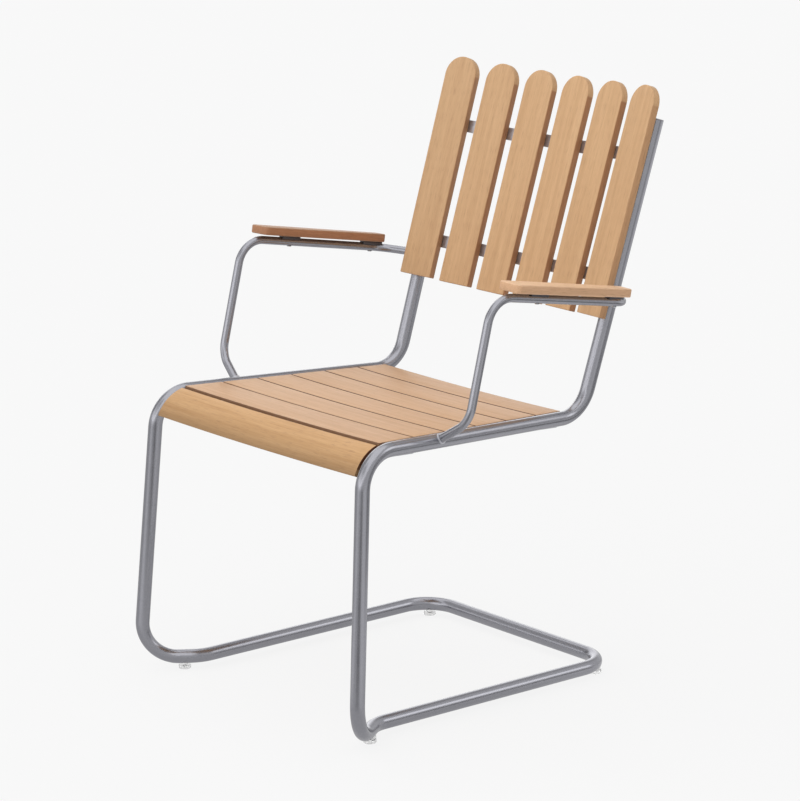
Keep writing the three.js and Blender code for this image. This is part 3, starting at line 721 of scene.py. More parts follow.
for number in range(1, SEAT_SLATS + 1):
    node = f"seat_slat_{number}"
    low, high = node_in_axes(node, seat_axes)
    near = half_length_at(node, seat_axes, low.y)
    far = half_length_at(node, seat_axes, high.y)
    bottom = SEAT_SLAT_TOP - SEAT_SLAT_THICKNESS
    slat = new_block(Vector((-1, low.y, bottom)), Vector((1, high.y, SEAT_SLAT_TOP)))
    for vert in slat.verts:
        vert.co.x *= near if vert.co.y < (low.y + high.y) / 2 else far
    round_edges(slat, SEAT_SLAT_EDGE)
    mark_sides(
        slat, lambda point: SEAT_SLAT_TOP - point.z, SEAT_SLAT_THICKNESS, SIDE_RAMP,
        lambda point: seat_side_share(number, point, (low.y + high.y) / 2),
    )
    cut_across(slat, near)
    store_grain(slat, across=1, along=0, through=2, number=number, tone=SEAT_TONES[number - 1])
    width = high.y - low.y
    sink(slat, lambda point: near + (far - near) * (point.y - low.y) / width)
    bmesh.ops.transform(slat, matrix=seat_axes, verts=slat.verts)
    make_piece(slat, f"seat_board_{number}", seat_wood, [node])
    print(node, "width", round(width, 4), "half length", round(near, 4))

# %% [markdown]
# ## The curved front board
# The front board follows the front bends of the tubes, on the same centre. A rectangle is spun about that
# centre, which gives even round steps, and then the ends are moved to follow the tubes.

# %% Where the nosing bends
front_turn = (SEAT_REAR - SEAT_FRONT).angle(LEG_FOOT - SEAT_FRONT)
nose_setback = BEND_RADIUS * math.tan((math.pi - front_turn) / 2)
nose_centre = Vector((0, nose_setback, -BEND_RADIUS))
NOSING_REAR = 0.0362
NOSING_WIDTH = 0.0605
NOSING_STEPS = 20
nose_radius = BEND_RADIUS + SEAT_SLAT_TOP
nose_start = math.asin((nose_setback - NOSING_REAR) / nose_radius)
nose_angle = NOSING_WIDTH / nose_radius


SEAT_END_GAP = 0.001


def nose_half_length(angle):
    """Half the board's length at an angle round the bend, from the tube beside it."""
    leg = (LEG_FOOT - SEAT_FRONT).normalized()
    seat = (SEAT_REAR - SEAT_FRONT).normalized()
    turn = math.pi - front_turn
    setback = BEND_RADIUS * math.tan(turn / 2)
    start = SEAT_FRONT + seat * setback
    to_centre = (leg + seat * seat.dot(-leg)).normalized()
    centre = start + to_centre * BEND_RADIUS
    point = centre - to_centre * BEND_RADIUS * math.cos(angle) - seat * BEND_RADIUS * math.sin(angle)
    return point.x - TUBE_RADIUS - SEAT_END_GAP


# %% Make the nosing
nosing = bmesh.new()
bmesh.ops.create_grid(nosing, x_segments=1, y_segments=1, size=0.5)
start_turn = Matrix.Rotation(nose_start, 4, "X")
upright_section = Matrix.Rotation(math.pi / 2, 4, "X")
profile = Matrix.Translation((0, 0, nose_radius - SEAT_SLAT_THICKNESS / 2)) @ upright_section
bmesh.ops.scale(nosing, vec=(2, SEAT_SLAT_THICKNESS, 1), verts=nosing.verts)
bmesh.ops.transform(nosing, matrix=Matrix.Translation(nose_centre) @ start_turn @ profile, verts=nosing.verts)
bmesh.ops.spin(
    nosing, geom=nosing.faces[:] + nosing.edges[:], cent=nose_centre, axis=X_AXIS, angle=nose_angle,
    steps=NOSING_STEPS, use_merge=False, use_normal_flip=False, use_duplicate=False,
)


def nose_length_of(point):
    """Half the nosing's length at one of its points."""
    arm = point - nose_centre
    return nose_half_length(math.atan2(-arm.y, arm.z))


for vert in nosing.verts:
    vert.co.x *= nose_length_of(vert.co)
bmesh.ops.recalc_face_normals(nosing, faces=nosing.faces)
round_edges(nosing, SEAT_SLAT_EDGE)
cut_across(nosing, max(v.co.x for v in nosing.verts))
print("nosing turns", round(math.degrees(nose_angle), 1), "degrees; faces", len(nosing.faces))

# %% Lay the grain round the nosing
# Painted side shade on the nosing: full on its upper part, only a little on its lower part.
mark_sides(
    nosing, lambda point: nose_radius - (point - Vector((point.x, nose_centre.y, nose_centre.z))).length,
    SEAT_SLAT_THICKNESS, SIDE_RAMP,
    lambda point: FREE_SIDE_SHARE if point.z < nose_centre.z + nose_radius / 2 else 1,
)
# Painted shade: the nosing is coloured darker towards its lower edge, which faces forward and down, away from
# the light.
NOSING_LOW_SHADE = 0.56
grain_layer = nosing.verts.layers.float_vector.new("grain")
tone_layer = nosing.verts.layers.float.new("tone")
for vert in nosing.verts:
    arm = vert.co - nose_centre
    round_angle = math.atan2(-arm.y, arm.z)
    share_down = min(max((round_angle - nose_start) / nose_angle, 0), 1)
    vert[tone_layer] = 1 - (1 - NOSING_LOW_SHADE) * share_down ** 2
    round_way = round_angle * nose_radius
    vert[grain_layer] = Vector((round_way, vert.co.x, math.hypot(arm.y, arm.z) - nose_radius))
sink(nosing, nose_length_of)
bmesh.ops.transform(nosing, matrix=seat_axes, verts=nosing.verts)
make_piece(nosing, "seat_nosing_board", nosing_wood, ["seat_nosing"])

# %% [markdown]
# ## Steel under the seat
# Two lengthwise straps hold the slats and bend down behind the nosing, and two cross bars join the side
# tubes under them. They are cut from flat bar: each strap is a rectangle carried along its line, and each
# cross bar a plain block. Their edges are just broken.

# %% Make the lengthwise straps
STRAP_WIDTH = 0.025
STRAP_THICKNESS = 0.003
STRAP_END_INSET = 0.006
STRAP_EDGE = 0.0006
STRAP_EDGE_SEGMENTS = 2

for side, sign in SIDES:
    node = f"seat_support_bar_{side}"
    low, high = node_in_axes(node, seat_axes)
    middle_x = (low.x + high.x) / 2
    strap = bmesh.new()
    bmesh.ops.create_grid(strap, x_segments=1, y_segments=1, size=0.5)
    bmesh.ops.scale(strap, vec=(STRAP_WIDTH, STRAP_THICKNESS, 1), verts=strap.verts)
    upright = Matrix.Rotation(math.pi / 2, 4, "X")
    rear_end = Vector((middle_x, high.y, high.z - STRAP_THICKNESS / 2))
    bmesh.ops.transform(strap, matrix=Matrix.Translation(rear_end) @ upright, verts=strap.verts)
    rim = extrude_run(strap, strap.edges[:], Vector((0, nose_setback - high.y, 0)))
    strap_radius = BEND_RADIUS + high.z
    strap_turn = nose_start + nose_angle - STRAP_END_INSET / strap_radius
    spun = bmesh.ops.spin(
        strap, geom=rim, cent=nose_centre, axis=X_AXIS, angle=strap_turn, steps=NOSING_STEPS,
        use_merge=False, use_normal_flip=False, use_duplicate=False,
    )
    bmesh.ops.edgeloop_fill(strap, edges=[g for g in spun["geom_last"] if isinstance(g, bmesh.types.BMEdge)])
    bmesh.ops.recalc_face_normals(strap, faces=strap.faces)
    round_edges(strap, STRAP_EDGE, segments=STRAP_EDGE_SEGMENTS)
    bmesh.ops.transform(strap, matrix=seat_axes, verts=strap.verts)
    make_piece(strap, f"seat_strap_{side}", bar_zinc, [node])
    print(node, "bends", round(math.degrees(strap_turn), 1), "degrees")

# %% Make the cross bars
for end in ("front", "rear"):
    node = f"seat_cross_bar_{end}"
    low, high = node_in_axes(node, seat_axes)
    bar = new_block(low, high)
    round_edges(bar, STRAP_EDGE, segments=STRAP_EDGE_SEGMENTS)
    bmesh.ops.transform(bar, matrix=seat_axes, verts=bar.verts)
    make_piece(bar, f"seat_cross_strap_{end}", bar_zinc, [node])
    print(node, "length", round(high.x - low.x, 4))

# %% [markdown]
# ## The back
# The back slats stand on an arc, so that the back is slightly hollow, and lean back with the uprights. They
# also fan out a little towards the top. One function gives the axes of each slat from these few facts, and
# the frame says how far back they stand.

# %% Axes of a back slat
BACK_SLATS = 6
BACK_SLAT_WIDTH = 0.062
BACK_SLAT_THICKNESS = 0.0125
BACK_SLAT_LENGTH = 0.36
BACK_PITCH = 0.0823
BACK_ARC_RADIUS = 1.17
BACK_FAN = 0.0067
BACK_LEAN = math.radians(17.79)
BACK_FOOT_HEIGHT = 0.572

back_up = Vector((0, math.sin(BACK_LEAN), math.cos(BACK_LEAN)))
back_forward = Vector((0, -math.cos(BACK_LEAN), math.sin(BACK_LEAN)))


def back_axes(index, foot):
    """Axes of one back slat: X across it, Y up it, Z out of its front face."""
    place = index - (BACK_SLATS - 1) / 2
    turn = place * BACK_PITCH / BACK_ARC_RADIUS
    fan = place * BACK_FAN
    origin = foot + X_AXIS * BACK_ARC_RADIUS * math.sin(turn)
    origin += back_forward * BACK_ARC_RADIUS * (1 - math.cos(turn))
    level = X_AXIS * math.cos(turn) + back_forward * math.sin(turn)
    normal = back_forward * math.cos(turn) - X_AXIS * math.sin(turn)
    along = back_up * math.cos(fan) + level * math.sin(fan)
    return axes(origin, along.cross(normal), along, normal)


back_foot = Vector((0, 0, BACK_FOOT_HEIGHT))
trial = back_axes(0, back_foot)
stand_off = node_in_axes("back_slat_1", trial)[1].z
back_foot.y -= stand_off / -trial.col[2].y
print("foot of the back at", [round(v, 4) for v in back_foot])

# %% Make the back slats
BACK_SLAT_EDGE = 0.0014
BACK_TONES = (0.97, 1.0, 1.02, 1.03, 1.02, 1.01)
# Share of the painted side shade left on the round tops, where light falls from above.
ROUND_TOP_SIDE = 0.05
ROUND_TOP_SHARE = 0.995
ROUND_TOP_STEPS = 20
TOP_RAMP = BACK_SLAT_WIDTH / 24
TOP_MERGE_DISTANCE = 1e-5
BACK_GRAIN_START = 11
# Share of the painted side shade on each back slat; the first and the last take less.
SIDE_SHARES = (0.8, 1.0, 1.0, 1.0, 1.0, 0.5)


def back_side_share(point, board_share):
    """How much of the painted side shade a point takes: little on the round top, which faces up to the light.
    """
    up_the_top = (point.y - BACK_SLAT_LENGTH + BACK_SLAT_WIDTH / 2) / TOP_RAMP
    return board_share * (1 - (1 - ROUND_TOP_SIDE) * min(max(up_the_top, 0), 1))


for index in range(BACK_SLATS):
    node = f"back_slat_{index + 1}"
    place = back_axes(index, back_foot)
    half = BACK_SLAT_WIDTH / 2
    slat = new_block(
        Vector((-half, 0, -BACK_SLAT_THICKNESS)), Vector((half, BACK_SLAT_LENGTH, 0)),
    )
    top_corners = [
        e for e in slat.edges
        if all(v.co.y > half for v in e.verts) and abs(e.verts[0].co.x - e.verts[1].co.x) < BACK_SLAT_EDGE
        and abs(e.verts[0].co.z - e.verts[1].co.z) > BACK_SLAT_EDGE
    ]
    bmesh.ops.bevel(
        slat, geom=top_corners, offset=half * ROUND_TOP_SHARE, segments=ROUND_TOP_STEPS, profile=0.5,
        affect="EDGES", material=-1,
    )
    bmesh.ops.remove_doubles(slat, verts=slat.verts, dist=TOP_MERGE_DISTANCE)
    rim = [e for e in slat.edges if len(e.link_faces) == 2 and e.calc_face_angle() > SHARP_ANGLE]
    bmesh.ops.bevel(
        slat, geom=rim, offset=BACK_SLAT_EDGE, segments=EDGE_SEGMENTS, profile=0.5, affect="EDGES",
        material=-1,
    )
    mark_sides(
        slat, lambda point: -point.z, BACK_SLAT_THICKNESS, BACK_SLAT_EDGE,
        lambda point: back_side_share(point, SIDE_SHARES[index]),
    )
    store_grain(slat, across=0, along=1, through=2, number=index + BACK_GRAIN_START, tone=BACK_TONES[index])
    bmesh.ops.transform(slat, matrix=place, verts=slat.verts)
    make_piece(slat, f"back_board_{index + 1}", slat_wood, [node])
print("back slats:", BACK_SLATS)

# %% [markdown]
# ## Curved bars behind the slats
# Each bar is a flat strip bent to the arc of the back, on edge, and welded to both uprights. One spin makes
# it.

# %% Make the back bars
BACK_BAR_HEIGHT = 0.020
BACK_BAR_THICKNESS = 0.003
BACK_BAR_STEPS = 48
BACK_BARS = (("lower", 0.0625), ("upper", 0.2525))
BAR_TO_SLAT_GAP = 0.0003
farthest_shift = (BACK_SLATS - 1) / 2 * BACK_FAN * BACK_BARS[1][1]
rear_corner_radius = math.hypot(BACK_ARC_RADIUS + BACK_SLAT_THICKNESS, BACK_SLAT_WIDTH / 2 + farthest_shift)
back_bar_radius = rear_corner_radius + BAR_TO_SLAT_GAP


def upright_half_width(height):
    """Half the distance between the uprights' centre-lines at a height."""
    share = (height - SEAT_REAR.z) / (UPRIGHT_TOP.z - SEAT_REAR.z)
    return SEAT_REAR.x + (UPRIGHT_TOP.x - SEAT_REAR.x) * share


def bar_reach(above):
    """Half the angle that a bar spans: it ends half a tube radius short of each upright's centre-line."""
    height = back_foot.z + above * back_up.z
    return math.asin((upright_half_width(height) - TUBE_RADIUS / 2) / back_bar_radius)


for name, above in BACK_BARS:
    centre = back_foot + back_up * above + back_forward * BACK_ARC_RADIUS
    reach = bar_reach(above)
    bar = bmesh.new()
    bmesh.ops.create_grid(bar, x_segments=1, y_segments=1, size=0.5)
    bmesh.ops.scale(bar, vec=(BACK_BAR_THICKNESS, BACK_BAR_HEIGHT, 1), verts=bar.verts)
    section = axes(
        centre - back_forward * (back_bar_radius + BACK_BAR_THICKNESS / 2), -back_forward, back_up, -X_AXIS,
    )
    bmesh.ops.transform(bar, matrix=section, verts=bar.verts)
    bmesh.ops.rotate(bar, cent=centre, matrix=Matrix.Rotation(-reach, 3, back_up), verts=bar.verts)
    bmesh.ops.spin(
        bar, geom=bar.faces[:] + bar.edges[:], cent=centre, axis=back_up, angle=2 * reach,
        steps=BACK_BAR_STEPS, use_merge=False, use_normal_flip=False, use_duplicate=False,
    )
    bmesh.ops.recalc_face_normals(bar, faces=bar.faces)
    round_edges(bar, STRAP_EDGE, segments=STRAP_EDGE_SEGMENTS)
    make_piece(bar, f"back_strap_{name}", bar_zinc, [f"back_bar_{name}"])
    print("back bar", name, "spans", round(math.degrees(2 * reach), 2), "degrees")

# %% [markdown]
# ## Screws
# The boards are held by small button-head screws with a hexagonal socket: from behind on the back, from
# below on the seat and the arm pads. One function makes a head with its shank. The socket is an inset of
# the top face, whose rim is drawn to a hexagon and pushed in.

# %% One screw
SCREW_SIDES = 24
CROWN_SHARE = 0.72
HEAD_ROUND_SHARE = 0.22
HEAD_ROUND_SEGMENTS = 2
HEAD_EDGE_ANGLE = math.radians(30)
SOCKET_SHARE = 0.42
SOCKET_RIM_SHARE = 0.2
SOCKET_DEPTH_SHARE = 0.6
FACING_OUT = -0.99
TIP_SHARE = 0.6
SHANK_SINK = 0.0002


def screw_mesh(head_radius, head_height, shank_radius, shank_length):
    """A button-head screw: its head rises along -Z from 0 and its shank runs along +Z."""
    bm = bmesh.new()
    made = bmesh.ops.create_cone(
        bm, cap_ends=True, segments=SCREW_SIDES, radius1=head_radius * CROWN_SHARE, radius2=head_radius,
        depth=head_height,
    )
    bmesh.ops.translate(bm, vec=(0, 0, -head_height / 2), verts=made["verts"])
    round_edges(
        bm, head_height * HEAD_ROUND_SHARE, segments=HEAD_ROUND_SEGMENTS, least_angle=HEAD_EDGE_ANGLE,
    )
    crown = min(bm.faces, key=lambda f: f.calc_center_median().z - f.calc_area())
    for face in bm.faces:
        if face.normal.z < FACING_OUT and face.calc_area() > crown.calc_area():
            crown = face
    bmesh.ops.inset_region(bm, faces=[crown], thickness=head_radius * SOCKET_RIM_SHARE)
    sixth = math.pi / 3
    for vert in crown.verts:
        angle = math.atan2(vert.co.y, vert.co.x)
        from_flat = (angle % sixth) - sixth / 2
        distance = head_radius * SOCKET_SHARE / math.cos(from_flat)
        vert.co.x = math.cos(angle) * distance
        vert.co.y = math.sin(angle) * distance
    pushed = bmesh.ops.extrude_discrete_faces(bm, faces=[crown])["faces"][0]
    bmesh.ops.translate(bm, vec=(0, 0, head_height * SOCKET_DEPTH_SHARE), verts=pushed.verts)
    shank = bmesh.ops.create_cone(
        bm, cap_ends=True, segments=SCREW_SIDES // 2, radius1=shank_radius,
        radius2=shank_radius * TIP_SHARE, depth=shank_length,
    )
    bmesh.ops.translate(bm, vec=(0, 0, shank_length / 2 - SHANK_SINK), verts=shank["verts"])
    return bm


def add_screw(name, place, sizes, nodes=()):
    """Puts one screw where a matrix says, its head facing along the matrix's -Z."""
    bm = screw_mesh(*sizes)
    bmesh.ops.transform(bm, matrix=place, verts=bm.verts)
    return make_piece(bm, name, screw_zinc, nodes)


# %% Screws of the back
BACK_SCREW = (0.0036, 0.0022, 0.0018, 0.010)

for name, above in BACK_BARS:
    for index in range(BACK_SLATS):
        sideways = (index - (BACK_SLATS - 1) / 2) * BACK_FAN * above
        rear_radius = back_bar_radius + BACK_BAR_THICKNESS
        depth = math.sqrt(rear_radius ** 2 - sideways ** 2) - BACK_ARC_RADIUS
        seat = back_axes(index, back_foot)
        seat.translation = seat @ Vector((0, above, -depth))
        node = f"back_screw_{name}_{index + 1}"
        add_screw(f"screw_back_{name}_{index + 1}", seat, BACK_SCREW, [node])
print("back screws:", BACK_SLATS * len(BACK_BARS))

# %% Screws under the seat
SEAT_SCREW = (0.0036, 0.002, 0.0018, 0.012)
strap_corners = node_in_axes("seat_support_bar_left", seat_axes)
strap_x = (strap_corners[0].x + strap_corners[1].x) / 2
strap_low = strap_corners[1].z - STRAP_THICKNESS


def head_height_at(run):
    """The height a screw's head lies against: under a cross bar where one passes, or else under the strap."""
    for end in ("front", "rear"):
        low, high = node_in_axes(f"seat_cross_bar_{end}", seat_axes)
        if low.y < run < high.y:
            return low.z
    return strap_low


for number in range(1, SEAT_SLATS + 1):
    low, high = node_in_axes(f"seat_slat_{number}", seat_axes)
    run = (low.y + high.y) / 2
    print("screws of slat", number, "through a cross bar:", head_height_at(run) < strap_low)
    for side, sign in SIDES:
        spot = seat_axes.copy()
        spot.translation = seat_axes @ Vector((sign * strap_x, run, head_height_at(run)))
        add_screw(f"screw_seat_{number}_{side}", spot, SEAT_SCREW)

nose_middle = nose_start + nose_angle / 2
strap_inner_radius = BEND_RADIUS + strap_low
for side, sign in SIDES:
    outward = Vector((0, -math.sin(nose_middle), math.cos(nose_middle)))
    spot = axes(
        nose_centre + outward * strap_inner_radius + X_AXIS * sign * strap_x,
        X_AXIS, outward.cross(X_AXIS), outward,
    )
    add_screw(f"screw_nosing_{side}", seat_axes @ spot, SEAT_SCREW)
print("seat screws:", 2 * SEAT_SLATS + 2)

# %% [markdown]
# ## Arms
# Each arm is a thinner tube, welded to the seat tube, bent up and back, and welded to the upright. It is
# made by the same function as the main tube.

# %% Bend the arm tubes
ARM_RADIUS = 0.0065
ARM_BEND_RADIUS = 0.0418
ARM_SIDES = 32
ARM_SEAT_RUN = 0.1468
ARM_FOOT = Vector((0.2974, -0.1304, 0.4756))
ARM_FRONT = Vector((0.2982, -0.0864, 0.6556))
ARM_REAR = Vector((0.2884, 0.1871, 0.6102))
ARM_UPRIGHT_HEIGHT = 0.606

seat_share = ARM_SEAT_RUN / (SEAT_REAR_MIDDLE - SEAT_FRONT_MIDDLE).length
arm_seat_point = SEAT_FRONT.lerp(SEAT_REAR, seat_share)
upright_share = (ARM_UPRIGHT_HEIGHT - SEAT_REAR.z) / (UPRIGHT_TOP.z - SEAT_REAR.z)
arm_upright_point = SEAT_REAR.lerp(UPRIGHT_TOP, upright_share)
arm_corners = [arm_seat_point, ARM_FOOT, ARM_FRONT, ARM_REAR, arm_upright_point]

for side, sign in SIDES:
    corners = [mirrored(c, sign) for c in arm_corners]
    arm = tube_between(corners, ARM_RADIUS, ARM_BEND_RADIUS, ARM_SIDES)
    make_piece(arm, f"arm_tube_bent_{side}", tube_zinc, [f"arm_tube_{side}"])
print("arm tube starts at", [round(v, 3) for v in arm_seat_point])

# %% [markdown]
# ## Weld beads
# A weld leaves a low rippled bead where one piece meets another. Round the arm tube it is a ring that rides
# up and down over the main tube: a torus is spun first, and each part of it is then slid along the arm
# until it touches the main tube's surface.

# %% A bead round a tube joint
BEAD_RADIUS = 0.0019
BEAD_SIDES = 10
BEAD_STEPS = 72
BEAD_RIPPLES = 26
BEAD_RIPPLE = 0.00022
LINE_RIPPLE_SHARE = 0.12
LINE_RIPPLE_PITCH = 5


def slide_to_tube(point, direction, main_point, main_direction, main_radius):
    """How far a point slides along a direction to reach the outside of a tube."""
    start = (point - main_point) - main_direction * (point - main_point).dot(main_direction)
    step = direction - main_direction * direction.dot(main_direction)
    a = step.length_squared
    b = 2 * start.dot(step)
    c = start.length_squared - main_radius ** 2
    return (-b + math.sqrt(max(b * b - 4 * a * c, 0))) / (2 * a)


def add_ring_bead(name, origin, direction, ring_radius, main_point, main_direction):
    """A bead round a thin tube that leaves a main tube at an origin on its centre-line."""
    bm = bmesh.new()
    bmesh.ops.create_circle(bm, segments=BEAD_SIDES, radius=BEAD_RADIUS)
    stand = Matrix.Translation((ring_radius, 0, 0)) @ Matrix.Rotation(math.pi / 2, 4, "X")
    bmesh.ops.transform(bm, matrix=stand, verts=bm.verts)
    bmesh.ops.spin(
        bm, geom=bm.edges[:], cent=(0, 0, 0), axis=(0, 0, 1), angle=2 * math.pi, steps=BEAD_STEPS,
        use_merge=True, use_normal_flip=False, use_duplicate=False,
    )
    place = Matrix.Translation(origin) @ direction.to_track_quat("Z", "Y").to_matrix().to_4x4()
    for vert in bm.verts:
        angle = math.atan2(vert.co.y, vert.co.x)
        foot = place @ Vector((ring_radius * math.cos(angle), ring_radius * math.sin(angle), 0))
        slide = slide_to_tube(foot, direction, main_point, main_direction, TUBE_RADIUS)
        ripple = BEAD_RIPPLE * math.sin(BEAD_RIPPLES * angle)
        vert.co.z += slide + ripple
    bmesh.ops.transform(bm, matrix=place, verts=bm.verts)
    return make_piece(bm, name, weld_zinc)


for side, sign in SIDES:
    corners = [mirrored(c, sign) for c in arm_corners]
    seat_line = mirrored(SEAT_REAR - SEAT_FRONT, sign).normalized()
    upright_line = mirrored(UPRIGHT_TOP - SEAT_REAR, sign).normalized()
    add_ring_bead(
        f"weld_arm_seat_{side}", corners[0], (corners[1] - corners[0]).normalized(), ARM_RADIUS, corners[0],
        seat_line,
    )
    add_ring_bead(
        f"weld_arm_upright_{side}", corners[-1], (corners[-2] - corners[-1]).normalized(), ARM_RADIUS,
        corners[-1], upright_line,
    )
print("ring beads:", 2 * len(SIDES))


# %% A straight bead along a bar's end
def add_line_bead(name, start, end):
    """A short bead between two points, with rounded ends and a ripple of its own."""
    bm = bmesh.new()
    bmesh.ops.create_uvsphere(bm, u_segments=BEAD_SIDES * 2, v_segments=BEAD_STEPS // 2, radius=BEAD_RADIUS)
    half_length = (end - start).length / 2
    for vert in bm.verts:
        height = math.copysign(abs(vert.co.z / BEAD_RADIUS) ** 2, vert.co.z)
        thick = 1 + LINE_RIPPLE_SHARE * math.sin(half_length / BEAD_RADIUS * LINE_RIPPLE_PITCH * height)
        vert.co = Vector((vert.co.x * thick, vert.co.y * thick, height * half_length))
    turn = (end - start).to_track_quat("Z", "Y").to_matrix().to_4x4()
    bmesh.ops.transform(bm, matrix=Matrix.Translation((start + end) / 2) @ turn, verts=bm.verts)
    return make_piece(bm, name, weld_zinc)


for name, above in BACK_BARS:
    height = back_foot.z + above * back_up.z
    reach = bar_reach(above)
    for side, sign in SIDES:
        centre = back_foot + back_up * above + back_forward * BACK_ARC_RADIUS
        outward = X_AXIS * sign * math.sin(reach) - back_forward * math.cos(reach)
        rear = centre + outward * (back_bar_radius + BACK_BAR_THICKNESS)
        half_bar = back_up * BACK_BAR_HEIGHT / 2
        add_line_bead(f"weld_back_{name}_{side}", rear - half_bar, rear + half_bar)

for end in ("front", "rear"):
    low, high = node_in_axes(f"seat_cross_bar_{end}", seat_axes)
    for side, sign in SIDES:
        x = sign * (high.x - BEAD_RADIUS)
        bead_height = low.z + BEAD_RADIUS
        first = seat_axes @ Vector((x, low.y, bead_height))
        second = seat_axes @ Vector((x, high.y, bead_height))
        add_line_bead(f"weld_cross_{end}_{side}", first, second)
print("line beads:", 4 * len(SIDES))

# %% [markdown]
# ## Arm pads
# A pad is a board that tapers to the rear, with soft corners. It stands on two small steel saddles, so that
# a thin gap shows under it, and a screw comes up through the tube at each saddle. The rear saddle follows
# the arm where it starts to bend. The right pad is coloured darker than the left one.

# %% Axes of a pad
PAD_FROM_FRONT = 0.028
PAD_ROUNDING_OVERRUN = 0.0015
PAD_LENGTH = 0.2465
PAD_FRONT_WIDTH = 0.045
PAD_REAR_WIDTH = 0.028
PAD_THICKNESS = 0.013
PAD_ABOVE_TUBE = 0.003
PAD_FRONT_CORNER = 0.010
PAD_REAR_CORNER = 0.005
PAD_EDGE = 0.0018
PAD_CORNER_STEPS = 8
PAD_RIM_ANGLE = math.radians(50)
PAD_GRAIN_START = 21
PAD_TILT = math.radians(2)
PAD_WOODS = (pad_wood, pale_pad_wood)


def pad_axes(sign):
    """Axes at the front of a pad, on the arm tube's centre-line: X across, Y rearward, Z up."""
    front = mirrored(ARM_FRONT, sign)
    rearward = (mirrored(ARM_REAR, sign) - front).normalized()
    across = rearward.cross(Z_AXIS).normalized()
    across.rotate(Matrix.Rotation(sign * PAD_TILT, 3, rearward))
    return axes(front + rearward * PAD_FROM_FRONT, across, rearward, across.cross(rearward))


# %% Make the pads
for number, (side, sign) in enumerate(SIDES):
    place = pad_axes(sign)
    bottom = ARM_RADIUS + PAD_ABOVE_TUBE
    pad = new_block(
        Vector((-0.5, -PAD_ROUNDING_OVERRUN, bottom)), Vector((0.5, PAD_LENGTH, bottom + PAD_THICKNESS)),
    )
    for vert in pad.verts:
        vert.co.x *= PAD_FRONT_WIDTH if vert.co.y < PAD_LENGTH / 2 else PAD_REAR_WIDTH
    corners = [e for e in pad.edges if abs(e.verts[0].co.z - e.verts[1].co.z) > PAD_THICKNESS / 2]
    front_corners = [e for e in corners if e.verts[0].co.y < PAD_LENGTH / 2]
    rear_corners = [e for e in corners if e.verts[0].co.y > PAD_LENGTH / 2]
    for edges, radius in ((front_corners, PAD_FRONT_CORNER), (rear_corners, PAD_REAR_CORNER)):
        bmesh.ops.bevel(
            pad, geom=edges, offset=radius, segments=PAD_CORNER_STEPS, profile=0.5, affect="EDGES",
            material=-1,
        )
    rim = [e for e in pad.edges if len(e.link_faces) == 2 and e.calc_face_angle() > PAD_RIM_ANGLE]
    bmesh.ops.bevel(
        pad, geom=rim, offset=PAD_EDGE, segments=EDGE_SEGMENTS, profile=0.5, affect="EDGES", material=-1,
    )
    mark_sides(pad, lambda point: bottom + PAD_THICKNESS - point.z, PAD_THICKNESS, PAD_EDGE)
    store_grain(pad, across=0, along=1, through=2, number=number + PAD_GRAIN_START)
    bmesh.ops.transform(pad, matrix=place, verts=pad.verts)
    make_piece(pad, f"arm_board_{side}", PAD_WOODS[number], [f"arm_pad_{side}"])
print("pads stand", PAD_ABOVE_TUBE, "above the tube")

# %% Saddles and screws of the pads
SADDLE_LENGTH = 0.035
SADDLE_WIDTH = 0.011
SADDLE_EDGE = 0.0008
SADDLE_BOTTOM = 0.0034
SADDLE_RUNS = (("front", 0.063), ("rear", 0.226))
PAD_SCREW = (0.004, 0.0014, 0.002, 0.024)
arm_rear_turn = (ARM_REAR - ARM_FRONT).angle(arm_upright_point - ARM_REAR)
arm_bend_run = (ARM_REAR - ARM_FRONT).length - ARM_BEND_RADIUS * math.tan(arm_rear_turn / 2) - PAD_FROM_FRONT

for side, sign in SIDES:
    place = pad_axes(sign)
    for end, run in SADDLE_RUNS:
        saddle = new_block(
            Vector((-SADDLE_WIDTH / 2, run - SADDLE_LENGTH / 2, SADDLE_BOTTOM)),
            Vector((SADDLE_WIDTH / 2, run + SADDLE_LENGTH / 2, ARM_RADIUS + PAD_ABOVE_TUBE)),
        )
        for vert in saddle.verts:
            past_bend = max(vert.co.y - arm_bend_run, 0)
            vert.co.x -= sign * past_bend ** 2 / (2 * ARM_BEND_RADIUS)
        round_edges(saddle, SADDLE_EDGE)
        bmesh.ops.transform(saddle, matrix=place, verts=saddle.verts)
        # The saddles take the very dark zinc: painted shade for the gap under the pad.
        make_piece(
            saddle, f"pad_saddle_{side}_{end}", shaded_saddle_zinc, [f"pad_spacer_{side}_{end}"],
        )
        spot = place.copy()
        spot.translation = place @ Vector((0, run, -ARM_RADIUS))
        add_screw(f"screw_pad_{side}_{end}", spot, PAD_SCREW, [f"pad_screw_{side}_{end}"])
print("pad saddles:", 2 * len(SADDLE_RUNS))

# %% [markdown]
# ## Floor
# The chair stands on a plain pale floor that fills the picture, as on a studio's white paper. The camera
# sees most of it as one even near white, and the rest is lit, which keeps the chair's soft shadow. Metal
# needs lighter and darker things to mirror, or it looks flat. So reflections see the floor as a light grey
# that darkens with distance, with six lighter or darker stretches, each in one direction from the chair and
# from some distance on. The studio itself is not known, so they were set one by one.

# %% Floor
FLOOR_SIZE = 60
FLOOR_COLOUR = (0.82, 0.82, 0.82, 1)
FLOOR_SEEN = 0.952
EVEN_SHARE = 0.9
NEAR_MIRRORED = 0.76
FAR_MIRRORED = 0.6
FADE_OUT = (0.25, 1.5)
FLOOR_ROUGHNESS = 0.9

